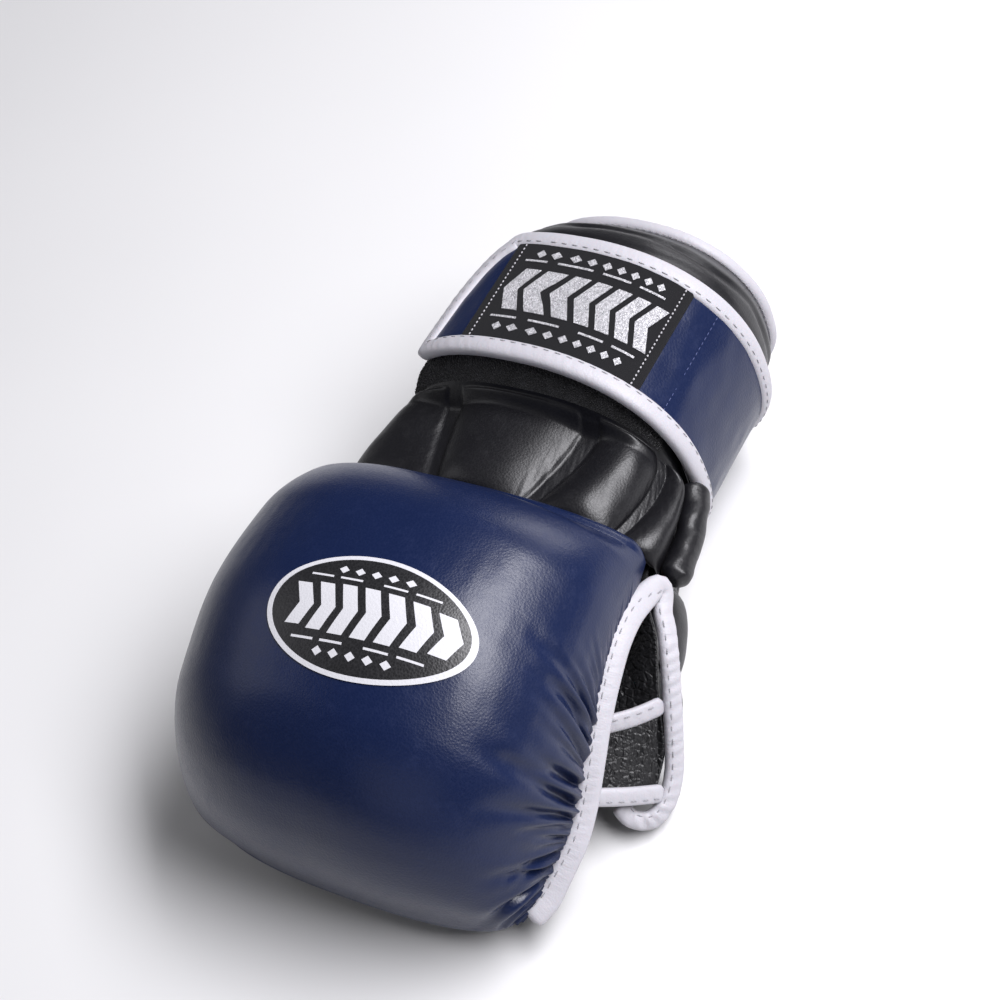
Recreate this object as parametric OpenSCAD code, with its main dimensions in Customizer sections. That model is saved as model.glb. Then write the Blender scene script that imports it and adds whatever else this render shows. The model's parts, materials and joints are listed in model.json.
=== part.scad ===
// Right-hand mixed martial arts sparring glove, palm down.
// +X points to the thumb side, -Y along the fingers, +Z up out of the back of the hand.
// The knuckle line is y = 0 in the modelling space; to_origin puts the resting patch at z = 0.

/* [Wrist strap] */
// Half of the closed strap's width, outside
strap_half_w = 56; // [52:0.5:60]
// Height of the closed strap above its middle
strap_rise = 48; // [44:0.5:52]
// Depth of the closed strap below its middle
strap_drop = 45; // [41:0.5:45]
// Height of the strap's middle above the ground
strap_mid_z = 46.8; // [46.8:0.1:50]
// Strap edge on the finger side
strap_y0 = 39.4; // [39:0.1:41]
// Strap edge on the cuff side
strap_y1 = 92.9; // [88:0.1:94]
// Thickness of the strap's leather
strap_leather = 2.0; // [1.4:0.1:2.2]
// Thickness of the hook tape and lining under it
strap_under = 1.4; // [0.8:0.1:1.5]
// Angle round the wrist where the strap is sewn down
strap_sewn_a = 28; // [24:1:34]
// Angle round the wrist of the label's far end
label_end_a = 112.5; // [108:0.5:114]
// Angle round the wrist of the strap's tip
strap_tip_a = 131; // [126:1:134]

/* [Cuff] */
// Gap between the strap and the cuff under it
cuff_gap = 2.3; // [2:0.1:4]
// Thickness of the padded cuff wall
cuff_wall = 7.5; // [6:0.5:9]
// Thickness of the leather covers
leather = 1.2; // [1:0.1:1.4]
// Position of the cuff's open end
cuff_end_y = 117; // [115:1:120]

/* [Back of the hand] */
// Height of the sewn channels' crowns above the flat lanes
channel_rise = 6; // [4:0.5:7]
// Thickness of the padding under the lanes
back_pad = 5; // [4:0.5:7]

/* [Knuckle pad] */
// Fullness of the knuckle pad's cross-section
pad_power = 2.5; // [2.2:0.1:3]
// Thickness of the knuckle pad's leather, as a share of its half width
pad_skin = 0.028; // [0.02:0.002:0.04]
// Half length of the oval badge
badge_half_l = 34; // [28:1:36]
// Half width of the oval badge
badge_half_w = 20.5; // [16:0.5:22]

/* [Fingers] */
// Pitch of the four finger loops
loop_pitch = 28; // [26:0.5:28]
// Length of each finger loop
loop_len = 18; // [14:1:19]
// Radius of the bar across the palm's front
bar_r = 4.2; // [3:0.1:4.4]

/* [Thumb] */
// Outer radius of the thumb sleeve
thumb_r = 10.5; // [10:0.5:11.5]
// Thickness of the thumb pads
thumb_pad_t = 4.2; // [3:0.2:5]

/* [Trim] */
// Radius of the edge binding
bind_r = 2.7; // [2:0.1:3]

/* [Hidden] */

navy = [0.11, 0.15, 0.33];
black = [0.07, 0.07, 0.08];
white = [0.93, 0.92, 0.94];
foam_grey = [0.55, 0.56, 0.58];
lining_grey = [0.25, 0.25, 0.28];
gap = 0.3;              // clearance between neighbouring pieces
to_origin = [-6.2, 1.14, 0]; // moves the modelling space to the part's origin

// ---- Small maths -------------------------------------------------------

function mix(a, b, t) = a + (b - a) * t;
function spow(v, p) = sign(v) * pow(abs(v), p);
function clamp01(t) = min(1, max(0, t));
function ease(t) = let (c = clamp01(t)) c * c * (3 - 2 * c);
function steps(a, b, n) = [for (i = [0:n]) a + (b - a) * i / n];
function unit(v) = v / norm(v);
function column(table, k, at) = lookup(at, [for (row = table) [row[0], row[k]]]);
function mean(points) = [for (k = [0:2]) let (c = [for (p = points) p[k]])
  (c * [for (i = c) 1]) / len(c)];

// ---- Solids from grids of points ---------------------------------------

function tris(a, b, c, d, turn) = turn ? [[d, c, b], [d, b, a]] : [[a, b, c], [a, c, d]];

// A sheet with thickness between two equal grids; wrap joins the last column to the first
module sheet(outer, inner, wrap = false) {
  m = len(outer);
  n = len(outer[0]);
  o = m * n;
  i0 = floor(m / 2) - 1;
  j0 = floor(n / 2) - 1;
  facing = cross(outer[i0][j0 + 1] - outer[i0][j0], outer[i0 + 1][j0] - outer[i0][j0])
    * (outer[i0][j0] - inner[i0][j0]);
  turn = facing > 0;
  last = wrap ? n - 1 : n - 2;
  both = [for (i = [0:m - 2], j = [0:last]) let (
      k = (j + 1) % n, a = i * n + j, b = i * n + k, c = (i + 1) * n + k, d = (i + 1) * n + j)
    each concat(tris(a, b, c, d, turn), tris(o + d, o + c, o + b, o + a, turn))];
  ends = [for (j = [0:last]) let (k = (j + 1) % n, e = (m - 1) * n)
    each concat(tris(k, j, o + j, o + k, turn),
      tris(e + j, e + k, o + e + k, o + e + j, turn))];
  sides = wrap ? [] : [for (i = [0:m - 2]) let (
      a = i * n, d = (i + 1) * n, b = a + n - 1, c = d + n - 1)
    each concat(tris(a, d, o + d, o + a, turn), tris(c, b, o + b, o + c, turn))];
  polyhedron(concat([for (r = outer) each r], [for (r = inner) each r]),
    concat(both, ends, sides), convexity = 8);
}

// A closed solid through a row of rings, with a flat fan at each end
module loft(rings) {
  m = len(rings);
  n = len(rings[0]);
  first = mean(rings[0]);
  lastc = mean(rings[m - 1]);
  facing = cross(rings[0][1] - rings[0][0], rings[1][0] - rings[0][0])
    * (rings[0][0] - first);
  turn = facing > 0;
  skin = [for (i = [0:m - 2], j = [0:n - 1]) let (
      k = (j + 1) % n, a = i * n + j, b = i * n + k, c = (i + 1) * n + k, d = (i + 1) * n + j)
    each tris(a, b, c, d, turn)];
  e = (m - 1) * n;
  caps = [for (j = [0:n - 1]) let (k = (j + 1) % n)
    each turn ? [[m * n, j, k], [m * n + 1, e + k, e + j]]
      : [[m * n, k, j], [m * n + 1, e + j, e + k]]];
  polyhedron(concat([for (r = rings) each r], [first, lastc]), concat(skin, caps),
    convexity = 8);
}

// A round cord of radius r along a route
module cord(route, r, sides = 8) {
  m = len(route);
  loft([for (i = [0:m - 1]) let (
      t = unit(route[min(m - 1, i + 1)] - route[max(0, i - 1)]),
      ref = abs(t[0]) > 0.8 ? [0, 0, 1] : [1, 0, 0],
      u = unit(cross(t, ref)), v = cross(t, u))
    [for (a = steps(0, 360 * (sides - 1) / sides, sides - 1))
      route[i] + r * (u * cos(a) + v * sin(a))]]);
}

// A smooth route through hand-placed points
function spline_pt(p0, p1, p2, p3, t) = 0.5 * (2 * p1 + (p2 - p0) * t
  + (2 * p0 - 5 * p1 + 4 * p2 - p3) * t * t + (3 * p1 - p0 - 3 * p2 + p3) * t * t * t);
function spline(p, per) = let (m = len(p)) concat(
  [for (i = [0:m - 2], k = [0:per - 1]) spline_pt(
    i == 0 ? 2 * p[0] - p[1] : p[i - 1], p[i], p[i + 1],
    i == m - 2 ? 2 * p[m - 1] - p[m - 2] : p[i + 2], k / per)], [p[m - 1]]);

// ---- Hand and cuff section ---------------------------------------------

// A closed section: angle 0 is the thumb side, 90 the back of the hand, 270 the palm
function oval(half_w, top, mid, bottom, y, a) = [
  half_w * spow(cos(a), 0.87), y,
  mid + (sin(a) > 0 ? top - mid : mid - bottom) * spow(sin(a), 0.87)];

cuff_in = strap_leather + strap_under + cuff_gap;
wrist_w = strap_half_w - cuff_in;
wrist_top = strap_mid_z + strap_rise - cuff_in;
wrist_bottom = strap_mid_z - strap_drop + cuff_in;

// Rows: y, half width, top, middle, bottom
hand_rows = [
  [0, 61, 68.5, 40, 3.2], [20, 57, 69, 42, 3.2], [33, 53, 71, 45, 4],
  [38, 51, 80, strap_mid_z, 6], [43, wrist_w, wrist_top, strap_mid_z, wrist_bottom],
  [93, wrist_w - 0.5, wrist_top - 0.5, strap_mid_z, wrist_bottom + 0.5],
  [107, 47.5, 84, 43, 5.5], [114, 44, 77.5, 39.5, 4.5], [119, 41.5, 73, 37.3, 4]
];
function hand_pt(y, a, d = 0) = oval(column(hand_rows, 1, y) + d, column(hand_rows, 2, y) + d,
  column(hand_rows, 3, y), column(hand_rows, 4, y) - d, y, a);
function hand_grid(ys, as, d) = [for (y = ys) [for (a = as) hand_pt(y, a, d)]];

module hand_sheet(ys, as, d_in, d_out, wrap = false)
  sheet(hand_grid(ys, as, d_out), hand_grid(ys, as, d_in), wrap);

// ---- Back of the hand ---------------------------------------------------

// Angle of each lane at the knuckles and at the strap, from the thumb side round
lane_front = [8, 41, 76, 106, 166];
lane_rear = [4, 22, 63, 118, 158];
lane_half = 2.2;
back_y0 = 4;
back_y1 = 42;
channel_y1 = 34;
function lane_a(k, y) = mix(lane_front[k], lane_rear[k], clamp01((y - back_y0) / 32));
function channel_end(y) = pow(max(0, 1 - pow(abs((y - 18.5) / 16), 4)), 0.5);
function crown(t) = t <= 0 || t >= 1 ? 0 : pow(sin(180 * t), 0.6);
function channel_t(k, y, t) = mix(lane_a(k, y) + lane_half, lane_a(k + 1, y) - lane_half, t);
function lift(t, y) = channel_rise * crown(t) * channel_end(y);
channel_ts = [0, 0.06, 0.25, 0.5, 0.75, 0.94, 1];
back_ys = [back_y0, 7, 12, 18, 25, 31, channel_y1, 38, back_y1];

module back_cover() color(black) translate(to_origin) {
  grid = function (d) [for (y = back_ys) [for (k = [0:3], t = channel_ts)
    hand_pt(y, channel_t(k, y, t), lift(t, y) + d)]];
  sheet(grid(0), grid(-leather));
}

module back_foam(k) color(foam_grey) translate(to_origin) {
  ys = [7, 12, 18, 25, 31];
  ts = [0.06, 0.25, 0.5, 0.75, 0.94];
  grid = function (part) [for (y = ys) [for (t = ts) let (top = lift(t, y) - leather - gap)
    hand_pt(y, channel_t(k, y, t), part * (top - 0.1) - (1 - part) * (leather + back_pad))]];
  sheet(grid(1), grid(0));
}

module hand_lining() color(lining_grey) translate(to_origin)
  hand_sheet([4, 12, 22, 33, 41], steps(12, 168, 14), -leather - back_pad - 2 * gap - 1,
    -leather - back_pad - 2 * gap);

module outer_side_panel() color(black) translate(to_origin)
  hand_sheet([2, 12, 24, 34, 42], steps(168, 222, 6), -leather, 0);

module thumb_side_panel() color(black) translate(to_origin)
  hand_sheet([6, 14, 24, 34, 42], steps(-20, -2, 3), -leather, 0);

module thumb_side_roll() color(black) translate(to_origin)
  cord([for (y = [4, 8, 16, 24, 32, 38.5]) hand_pt(y, mix(7, 0, (y - 4) / 34), 5.6)],
    4.2);

module palm_panel() color(black) translate(to_origin)
  hand_sheet([8, 16, 26, 36, 42], steps(224, 296, 7), -leather, 0);

module palm_foam() color(foam_grey) translate(to_origin)
  hand_sheet([10, 18, 27, 36, 41], steps(228, 292, 6), -leather - gap - 4, -leather - gap);

// ---- Cuff -----------------------------------------------------------------

cuff_ys = [43.2, 68, 93, 107, 114, cuff_end_y];
cuff_inner_ys = [44.5, 68, 93, 107, 112];
shell_a0 = -54;
shell_a1 = 234;

module cuff_shell() color(black) translate(to_origin)
  hand_sheet(cuff_ys, steps(shell_a0, shell_a1, 24), -leather, 0);

module cuff_foam() color(foam_grey) translate(to_origin)
  hand_sheet(cuff_inner_ys, steps(shell_a0 + 12, shell_a1 - 12, 22),
    -cuff_wall + 1 + gap, -leather - gap);

module cuff_lining() color(lining_grey) translate(to_origin)
  hand_sheet(cuff_inner_ys, steps(0, 345, 23), -cuff_wall, -cuff_wall + 1, true);

module wrist_elastic() color(black) translate(to_origin)
  hand_sheet(cuff_ys, steps(shell_a1 + 1, 360 + shell_a0 - 1, 8),
    -leather, 0);

module cuff_edge_binding() color(white) translate(to_origin) {
  ring = function (dy, d) [for (a = steps(0, 350, 35)) hand_pt(cuff_end_y + gap, a, d)
    + [0, dy, 0]];
  outer = [ring(0, 0.8), ring(2.6, 0.2), ring(4, -3.6)];
  inner = [ring(0, -cuff_wall + 1.4), ring(2.6, -cuff_wall + 2.2), ring(3.9, -3.9)];
  sheet(outer, inner, true);
}

module pile_panel() color(lining_grey) translate(to_origin)
  hand_sheet([46, 68, 87], steps(90, 150, 5), gap, gap + 0.6);

// ---- Strap ----------------------------------------------------------------

function strap_pt(y, a, d = 0) = oval(strap_half_w + d, strap_mid_z + strap_rise + d,
  strap_mid_z, strap_mid_z - strap_drop - d, y, a);
corner_a = strap_tip_a - 22;    // where the cuff-side edge starts to curve into the tip
tip_round = 46;                 // how far the tip's curve takes the edge down
function strap_hi(a) = a <= corner_a ? strap_y1
  : strap_y1 - tip_round * (1 - sqrt(max(0, 1 - pow((a - corner_a) / 22.4, 2))));
function strap_lo(a) = a <= strap_tip_a - 3 ? strap_y0
  : strap_y0 + 3 * pow((a - strap_tip_a + 3) / 3, 2);
edge = 2 * bind_r + gap;      // how far the strap's leather stays inside its edges
bind_depth = 1.6;             // depth of the binding's middle below the strap's face

// The leather stops short of the binding: straight edges by edge, the curved tip by an angle too
function leather_hi(a) = min(strap_hi(a) - edge, strap_hi(a + 6.5) - edge / 2);
module strap_sheet(as, d_in, d_out) {
  grid = function (d) [for (a = as) [for (t = [0, 0.5, 1])
    strap_pt(mix(strap_lo(a) + edge, leather_hi(a), t), a, d)]];
  sheet(grid(d_out), grid(d_in));
}

anchor_as = steps(-106, strap_sewn_a - 0.5, 15);
flap_as = steps(strap_sewn_a + 0.5, label_end_a - 0.5, 11);
tip_as = steps(label_end_a + 0.5, strap_tip_a - 7, 4);
under = -strap_leather - gap;

module strap_anchor() color(navy) translate(to_origin)
  strap_sheet(anchor_as, -strap_leather - strap_under, 0);
module strap_flap() color(navy) translate(to_origin)
  strap_sheet(flap_as, -strap_leather, 0);
module strap_flap_lining() color(black) translate(to_origin)
  strap_sheet(flap_as, under - strap_under + gap, under);
module strap_tip() color(navy) translate(to_origin)
  strap_sheet(tip_as, -strap_leather, 0);
module strap_tip_hook() color(black) translate(to_origin)
  strap_sheet(tip_as, under - strap_under + gap, under);

module strap_edges(as) for (side = [0, 1])
  cord([for (a = as) strap_pt(side == 0 ? strap_lo(a) + bind_r : strap_hi(a) - bind_r, a,
    -bind_depth)], bind_r, 8);

module strap_anchor_binding() color(white) translate(to_origin)
  strap_edges(steps(-104, strap_sewn_a - 2, 14));
module strap_flap_binding() color(white) translate(to_origin)
  strap_edges(steps(strap_sewn_a + 2, label_end_a - 1.6, 11));
module strap_tip_binding() color(white) translate(to_origin)
  cord(concat(
    [for (a = steps(label_end_a + 1.6, strap_tip_a - 1.5, 3))
      strap_pt(strap_lo(a) + bind_r, a, -bind_depth)],
    [for (a = steps(strap_tip_a + 0.3, label_end_a + 1.6, 5))
      strap_pt(max(strap_hi(a) - bind_r, strap_y0 + 9), a, -bind_depth)]), bind_r, 8);

module strap_label() color(black) translate(to_origin) {
  as = steps(strap_sewn_a + 17, label_end_a - 2, 9);
  grid = function (d) [for (a = as) [for (y = [strap_y0 + 7, strap_y1 - 7]) strap_pt(y, a, d)]];
  sheet(grid(gap + 1), grid(gap));
}

// The sewn patch under the wrist, which the glove rests on
module strap_patch() color(black) translate(to_origin)
  translate([4, 66, 0]) linear_extrude(strap_mid_z - strap_drop - gap)
    square([36, 34], center = true);

// ---- Knuckle pad ----------------------------------------------------------

// Rows: s, edge half width, edge y, edge z, spine y, spine z, outer bulge, roof y, roof z
pad_rows = [
  [0.00, 60, -1, 57, -2, 77, 2, 0, 61],
  [0.08, 62, -10, 53, -8, 90, 3, -9, 61],
  [0.25, 64, -29, 48.5, -30, 102, 5, -30, 60],
  [0.45, 65, -56, 38, -60, 104, 6, -56, 54],
  [0.65, 65, -78, 25, -93, 94, 6, -80, 45],
  [0.82, 62, -92, 18, -117, 70, 5, -96, 34],
  [0.93, 60, -99, 15, -125, 42, 3, -104, 24],
  [1.00, 57, -105, 14, -120, 16, 1, -108, 17]
];
function pad_col(k, s) = column(pad_rows, k, s);
// q runs across from the little-finger edge (-1) to the thumb edge (1)
function pad_pt(s, q, k = 1) = let (
  ew = pad_col(1, s), ey = pad_col(2, s), ez = pad_col(3, s),
  h = pow(max(0, 1 - pow(abs(q), pad_power)), 1 / pad_power),
  bulge = pad_col(6, s) * sin(180 * h) * (q < 0 ? 1.2 : 0.6) * sign(q))
  [k * (ew * q + bulge), mix(ey, pad_col(4, s), k * h), mix(ez, pad_col(5, s), k * h)];
function roof_pt(s, q) = let (r = 1 - q * q)
  [0.93 * pad_col(1, s) * q, mix(pad_col(2, s), pad_col(7, s), r),
    mix(pad_col(3, s) + 1, pad_col(8, s), r)];
function pad_q(v) = -spow(cos(v), 2 / pad_power);
function foam_pt(s, v, t) = mix(roof_pt(s, 0.98 * pad_q(v)),
  pad_pt(s, pad_q(v), 1 - pad_skin - 0.012), t);

pad_ss = [0, 0.05, 0.1, 0.18, 0.28, 0.4, 0.52, 0.64, 0.74, 0.82, 0.89, 0.95, 1];
pad_vs = [5, 12, 24, 38, 54, 72, 90, 108, 126, 142, 156, 168, 175];
foam_ss = [0.04, 0.1, 0.2, 0.34, 0.5, 0.65, 0.78, 0.88, 0.96];
foam_vs = [9, 24, 45, 68, 90, 112, 135, 156, 171];

module knuckle_cover() color(navy) translate(to_origin)
  sheet([for (s = pad_ss) [for (v = pad_vs) pad_pt(s, pad_q(v), 1)]],
    [for (s = pad_ss) [for (v = pad_vs) pad_pt(s, pad_q(v), 1 - pad_skin)]]);

module foam_layer(t0, t1) sheet([for (s = foam_ss) [for (v = foam_vs) foam_pt(s, v, t1)]],
  [for (s = foam_ss) [for (v = foam_vs) foam_pt(s, v, t0)]]);
module knuckle_foam_outer() color(foam_grey) translate(to_origin) foam_layer(0.58, 0.98);
module knuckle_foam_inner() color(foam_grey) translate(to_origin) foam_layer(0.06, 0.52);

module knuckle_lining() color(lining_grey) translate(to_origin) {
  qs = steps(-0.94, 0.94, 12);
  sheet([for (s = foam_ss) [for (q = qs) roof_pt(s, q)]],
    [for (s = foam_ss) [for (q = qs) roof_pt(s, q) - [0, 0, 1]]]);
}

module pad_edge_binding() color(white) translate(to_origin) for (side = [-1, 1])
  cord([for (s = [0.06, 0.12, 0.2, 0.32, 0.45, 0.58, 0.7, 0.8, 0.88, 0.94, 0.985])
    [side * (pad_col(1, s) + 0.5), pad_col(2, s), pad_col(3, s) - 0.6]], bind_r, 8);

badge_s = 0.5;
badge_x = 11;
badge_tilt = 6;
pad_len = 192;  // length along the pad's spine
function badge_pt(r, a, d) = let (
  u = r * badge_half_l * cos(a), w = r * badge_half_w * sin(a),
  x = badge_x + u * cos(badge_tilt) - w * sin(badge_tilt),
  l = w * cos(badge_tilt) + u * sin(badge_tilt),
  s = badge_s - l / pad_len) pad_pt(s, x / 64, 1) + d * [x / 90, -0.16, 1];

module badge() color(black) translate(to_origin) {
  as = steps(0, 348, 29);
  grid = function (d) [for (r = [0.02, 0.35, 0.7, 1]) [for (a = as) badge_pt(r, a, d)]];
  sheet(grid(1.6), grid(0.6), true);
}

// Leather strip that joins the pad's rear edge to the back of the hand
module knuckle_gusset() color(black) translate(to_origin) {
  as = steps(20, 160, 12);
  front = [for (a = as) [-60 * spow(cos(180 - a), 0.87) * 0.94, 1,
    mix(56, 72, spow(sin(a), 0.8))]];
  rear = [for (a = as) hand_pt(3.6, a, -2.2)];
  sheet([front, rear], [for (row = [front, rear]) [for (p = row) p - [0, 0, 1]]]);
}

// ---- Finger loops and palm front -------------------------------------------

loop_y0 = -53.5;
loop_wall = 1.5;
// Rounded rectangle of half sizes hx, hz round (cx, cz)
function loop_ring(y, cx, cz, hx, hz) = [for (a = steps(0, 337.5, 15))
  [cx + hx * spow(cos(a), 0.5), y, cz + hz * spow(sin(a), 0.5)]];

// k counts from the index finger (0) to the little finger (3)
module finger_loop(k) color(black) translate(to_origin) {
  cx = (1.5 - k) * loop_pitch;
  outside = k == 0 || k == 3;
  hz = outside ? 10 : 13.5;
  hx = loop_pitch / 2 - gap / 2;
  cz = 10 + hz;
  ys = [loop_y0, loop_y0 - loop_len / 2, loop_y0 - loop_len];
  sheet([for (y = ys) loop_ring(y, cx, cz, hx, hz)],
    [for (y = ys) loop_ring(y, cx, cz, hx - loop_wall, hz - loop_wall)], true);
}

bar_y = -61.5;
module finger_bar() color(black) translate(to_origin)
  cord([[-53, bar_y + 4, bar_r + 2.6], [-46, bar_y + 1, bar_r + 1], [-34, bar_y, bar_r + 0.4],
    [-10, bar_y - 1.5, bar_r + 0.3], [14, bar_y - 1, bar_r + 0.3], [34, bar_y, bar_r + 0.6],
    [44, bar_y, bar_r + 1]], bar_r, 10);

// Edge of the palm on the thumb side, from the top of the thumb opening to the front
palm_edge_route = [[66, -8, 47], [70, -13.5, 44], [73, -20, 39.5], [75.5, -28, 31],
  [78.5, -36, 21.5], [80.5, -44, 12], [80.5, -52, 7], [77, -60, 5.5], [69, -63.5, 7]];
palm_outer_route = [[-66, -8, 46], [-67, -17, 37], [-64, -30, 24], [-62, -46, 14],
  [-57, -56, 9]];

module palm_edge_binding() color(white) translate(to_origin) {
  cord(spline(palm_edge_route, 3), bind_r, 8);
  cord(spline(palm_outer_route, 3), bind_r, 8);
}

palm_ys = [5, -6, -16, -28, -42, -53];
// Rows: y, edge x, edge z, height over the thumb
palm_rows = [
  [-53, 76, 9.5, 8], [-42, 76, 16.5, 24], [-28, 71.5, 32, 28], [-16, 67.5, 42, 28.5],
  [-6, 60.5, 48, 28.5], [5, 56, 47, 28.5]
];
palm_x0 = -56;  // the palm's edge on the little-finger side
thumb_x = 46;   // where the palm leather lies over the middle of the thumb
// t runs from 0 at the little-finger edge, through 1 over the thumb, to 2 at the thumb edge
function palm_pt(y, t, d) = let (
  x1 = column(palm_rows, 1, y), z1 = column(palm_rows, 2, y), over = column(palm_rows, 3, y),
  x = t < 1 ? mix(palm_x0, thumb_x, t) : mix(thumb_x, x1, t - 1),
  floor_z = 4.4 + 9 * ease((-42 - x) / 14) + (over - 4.4) * ease((x - 20) / 11),
  z = t > 1 ? mix(over, z1, ease(t - 1)) : floor_z)
  [x, y, z + d];

module palm_front() color(black) translate(to_origin) {
  ts = [0, 0.07, 0.14, 0.4, 0.74, 0.79, 0.85, 1, 1.33, 1.66, 2];
  grid = function (d) [for (y = palm_ys) [for (t = ts) palm_pt(y, t, d)]];
  sheet(grid(0.6), grid(-0.6));
}

// Strip of leather between the pad's edge and the palm's edge, outside the index finger
function web_pt(u, v, side) = let (
  top = mix([60.5, -50, 35], [60.5, -70, 23], u), low = mix([72, -36, 29], [75.5, -54, 12.5], u))
  [side * (mix(top[0], low[0], v) + 1.2 * sin(180 * v)), mix(top[1], low[1], v),
    mix(top[2], low[2], v)];
module web(side, v1) sheet(
  [for (u = steps(0, 1, 4)) [for (v = steps(0, v1, 5)) web_pt(u, v, side) + [side * 1.2, 0, 0]]],
  [for (u = steps(0, 1, 4)) [for (v = steps(0, v1, 5)) web_pt(u, v, side)]]);

module index_web() color(black) translate(to_origin) web(1, 1);
module outer_web() color(black) translate(to_origin) web(-1, 0.55);
module index_web_binding() color(white) translate(to_origin) for (u = [-0.12, 1.12])
  cord([for (v = steps(0.14, 1, 6)) web_pt(u, v, 1) + [1.2, 0, 0]], 2, 8);

// ---- Thumb ------------------------------------------------------------------

thumb_root = [41, 14, 14.5];
thumb_joint = [53, -17, 12.6];
thumb_end = [61.5, -36, 12];
thumb_len = norm(thumb_joint - thumb_root);
tip_len = norm(thumb_end - thumb_joint);

// Ring round the thumb's line; angle 0 points away from the hand, 90 up
function thumb_ring_pt(base, along, at, a, r) = let (
  t = unit(along), side = unit(cross(t, [0, 0, 1])) * -1, up = cross(t, side) * -1)
  base + t * at + r * (side * cos(a) + (up[2] > 0 ? up : -up) * sin(a));
function thumb_grid(base, along, ats, as, r) =
  [for (at = ats) [for (a = as) thumb_ring_pt(base, along, at, a, r)]];

module thumb_tube(base, along, l0, l1) {
  as = steps(0, 345, 23);
  ats = steps(l0, l1, 2);
  sheet(thumb_grid(base, along, ats, as, thumb_r),
    thumb_grid(base, along, ats, as, thumb_r - 1.3), true);
}
// A crowned pad on the sleeve's outer and upper side, between depths part0 and part1
module thumb_pad_shape(base, along, l0, l1, part0, part1) {
  ats = steps(l0, l1, 6);
  as = steps(-50, 80, 10);
  grid = function (part) [for (at = ats) [for (a = as) let (
      e = pow(sin(180 * clamp01((at - l0) / (l1 - l0))), 0.5)
        * pow(sin(180 * clamp01((a + 50) / 130)), 0.5),
      r = thumb_r + gap + part * (0.9 + (thumb_pad_t - 0.9) * e))
    thumb_ring_pt(base, along, at, a, r)]];
  sheet(grid(part1), grid(part0));
}

thumb_way = thumb_joint - thumb_root;
tip_way = thumb_end - thumb_joint;
groove = 1.2;

module thumb_sleeve() color(black) translate(to_origin)
  thumb_tube(thumb_root, thumb_way, 0, thumb_len - groove);
module thumb_pad_cover() color(black) translate(to_origin)
  thumb_pad_shape(thumb_root, thumb_way, 3, thumb_len - groove, 0.78, 1);
module thumb_pad_foam() color(foam_grey) translate(to_origin)
  thumb_pad_shape(thumb_root, thumb_way, 4.5, thumb_len - groove - 1.5, 0, 0.54);
module thumb_tip_sleeve() color(black) translate(to_origin)
  thumb_tube(thumb_joint, tip_way, groove, tip_len);
module thumb_tip_pad_cover() color(black) translate(to_origin)
  thumb_pad_shape(thumb_joint, tip_way, groove, tip_len, 0.78, 1);
module thumb_tip_pad_foam() color(foam_grey) translate(to_origin)
  thumb_pad_shape(thumb_joint, tip_way, groove + 1.5, tip_len - 1.5, 0, 0.54);

// Soft leather between the thumb's root and the palm
module thumb_web() color(black) translate(to_origin) {
  as = steps(0, 345, 23);
  ats = [-9, -5, -0.4];
  sheet(thumb_grid(thumb_root, thumb_way, ats, as, thumb_r),
    thumb_grid(thumb_root, thumb_way, ats, as, thumb_r - leather), true);
}

back_cover();
back_foam(0);  // back_foam_1
back_foam(1);  // back_foam_2
back_foam(2);  // back_foam_3
back_foam(3);  // back_foam_4
hand_lining();
outer_side_panel();
thumb_side_panel();
thumb_side_roll();
palm_panel();
palm_foam();
cuff_shell();
cuff_foam();
cuff_lining();
cuff_edge_binding();
wrist_elastic();
pile_panel();
strap_anchor();
strap_anchor_binding();
strap_patch();
knuckle_cover();
knuckle_foam_outer();
knuckle_foam_inner();
knuckle_lining();
pad_edge_binding();
badge();
finger_loop(0);  // finger_loop_index
finger_loop(1);  // finger_loop_middle
finger_loop(2);  // finger_loop_ring
finger_loop(3);  // finger_loop_little
finger_bar();
outer_web();
knuckle_gusset();
palm_front();
palm_edge_binding();
index_web();
index_web_binding();
thumb_sleeve();
thumb_pad_cover();
thumb_pad_foam();
thumb_web();
thumb_tip_sleeve();
thumb_tip_pad_cover();
thumb_tip_pad_foam();
strap_flap();
strap_flap_lining();
strap_flap_binding();
strap_label();
strap_tip();
strap_tip_hook();
strap_tip_binding();
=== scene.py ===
"""Right-hand sparring glove: its leather, padding, tapes, cloth and stitching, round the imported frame."""

import functools
import json
import math
import random

import bmesh
import bpy
import numpy as np
from bpy.props import FloatProperty, FloatVectorProperty, PointerProperty
from mathutils import Matrix, Vector, noise
from mathutils.bvhtree import BVHTree


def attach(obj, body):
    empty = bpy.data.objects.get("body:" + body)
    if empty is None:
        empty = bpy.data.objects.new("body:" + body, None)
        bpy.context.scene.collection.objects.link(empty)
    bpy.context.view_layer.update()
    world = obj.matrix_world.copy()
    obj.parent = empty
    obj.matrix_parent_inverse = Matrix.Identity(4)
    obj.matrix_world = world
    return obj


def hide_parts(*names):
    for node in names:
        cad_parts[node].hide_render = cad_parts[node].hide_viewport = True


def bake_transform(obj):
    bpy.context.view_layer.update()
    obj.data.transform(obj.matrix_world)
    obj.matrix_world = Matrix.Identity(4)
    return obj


bl_info = {
    "name": "Sparring glove",
    "version": (1, 0, 0),
    "blender": (4, 5, 0),
    "location": "View3D > Sidebar > Glove",
    "description": "Builds a padded sparring glove piece by piece round its frame",
    "category": "Object",
}

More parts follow.
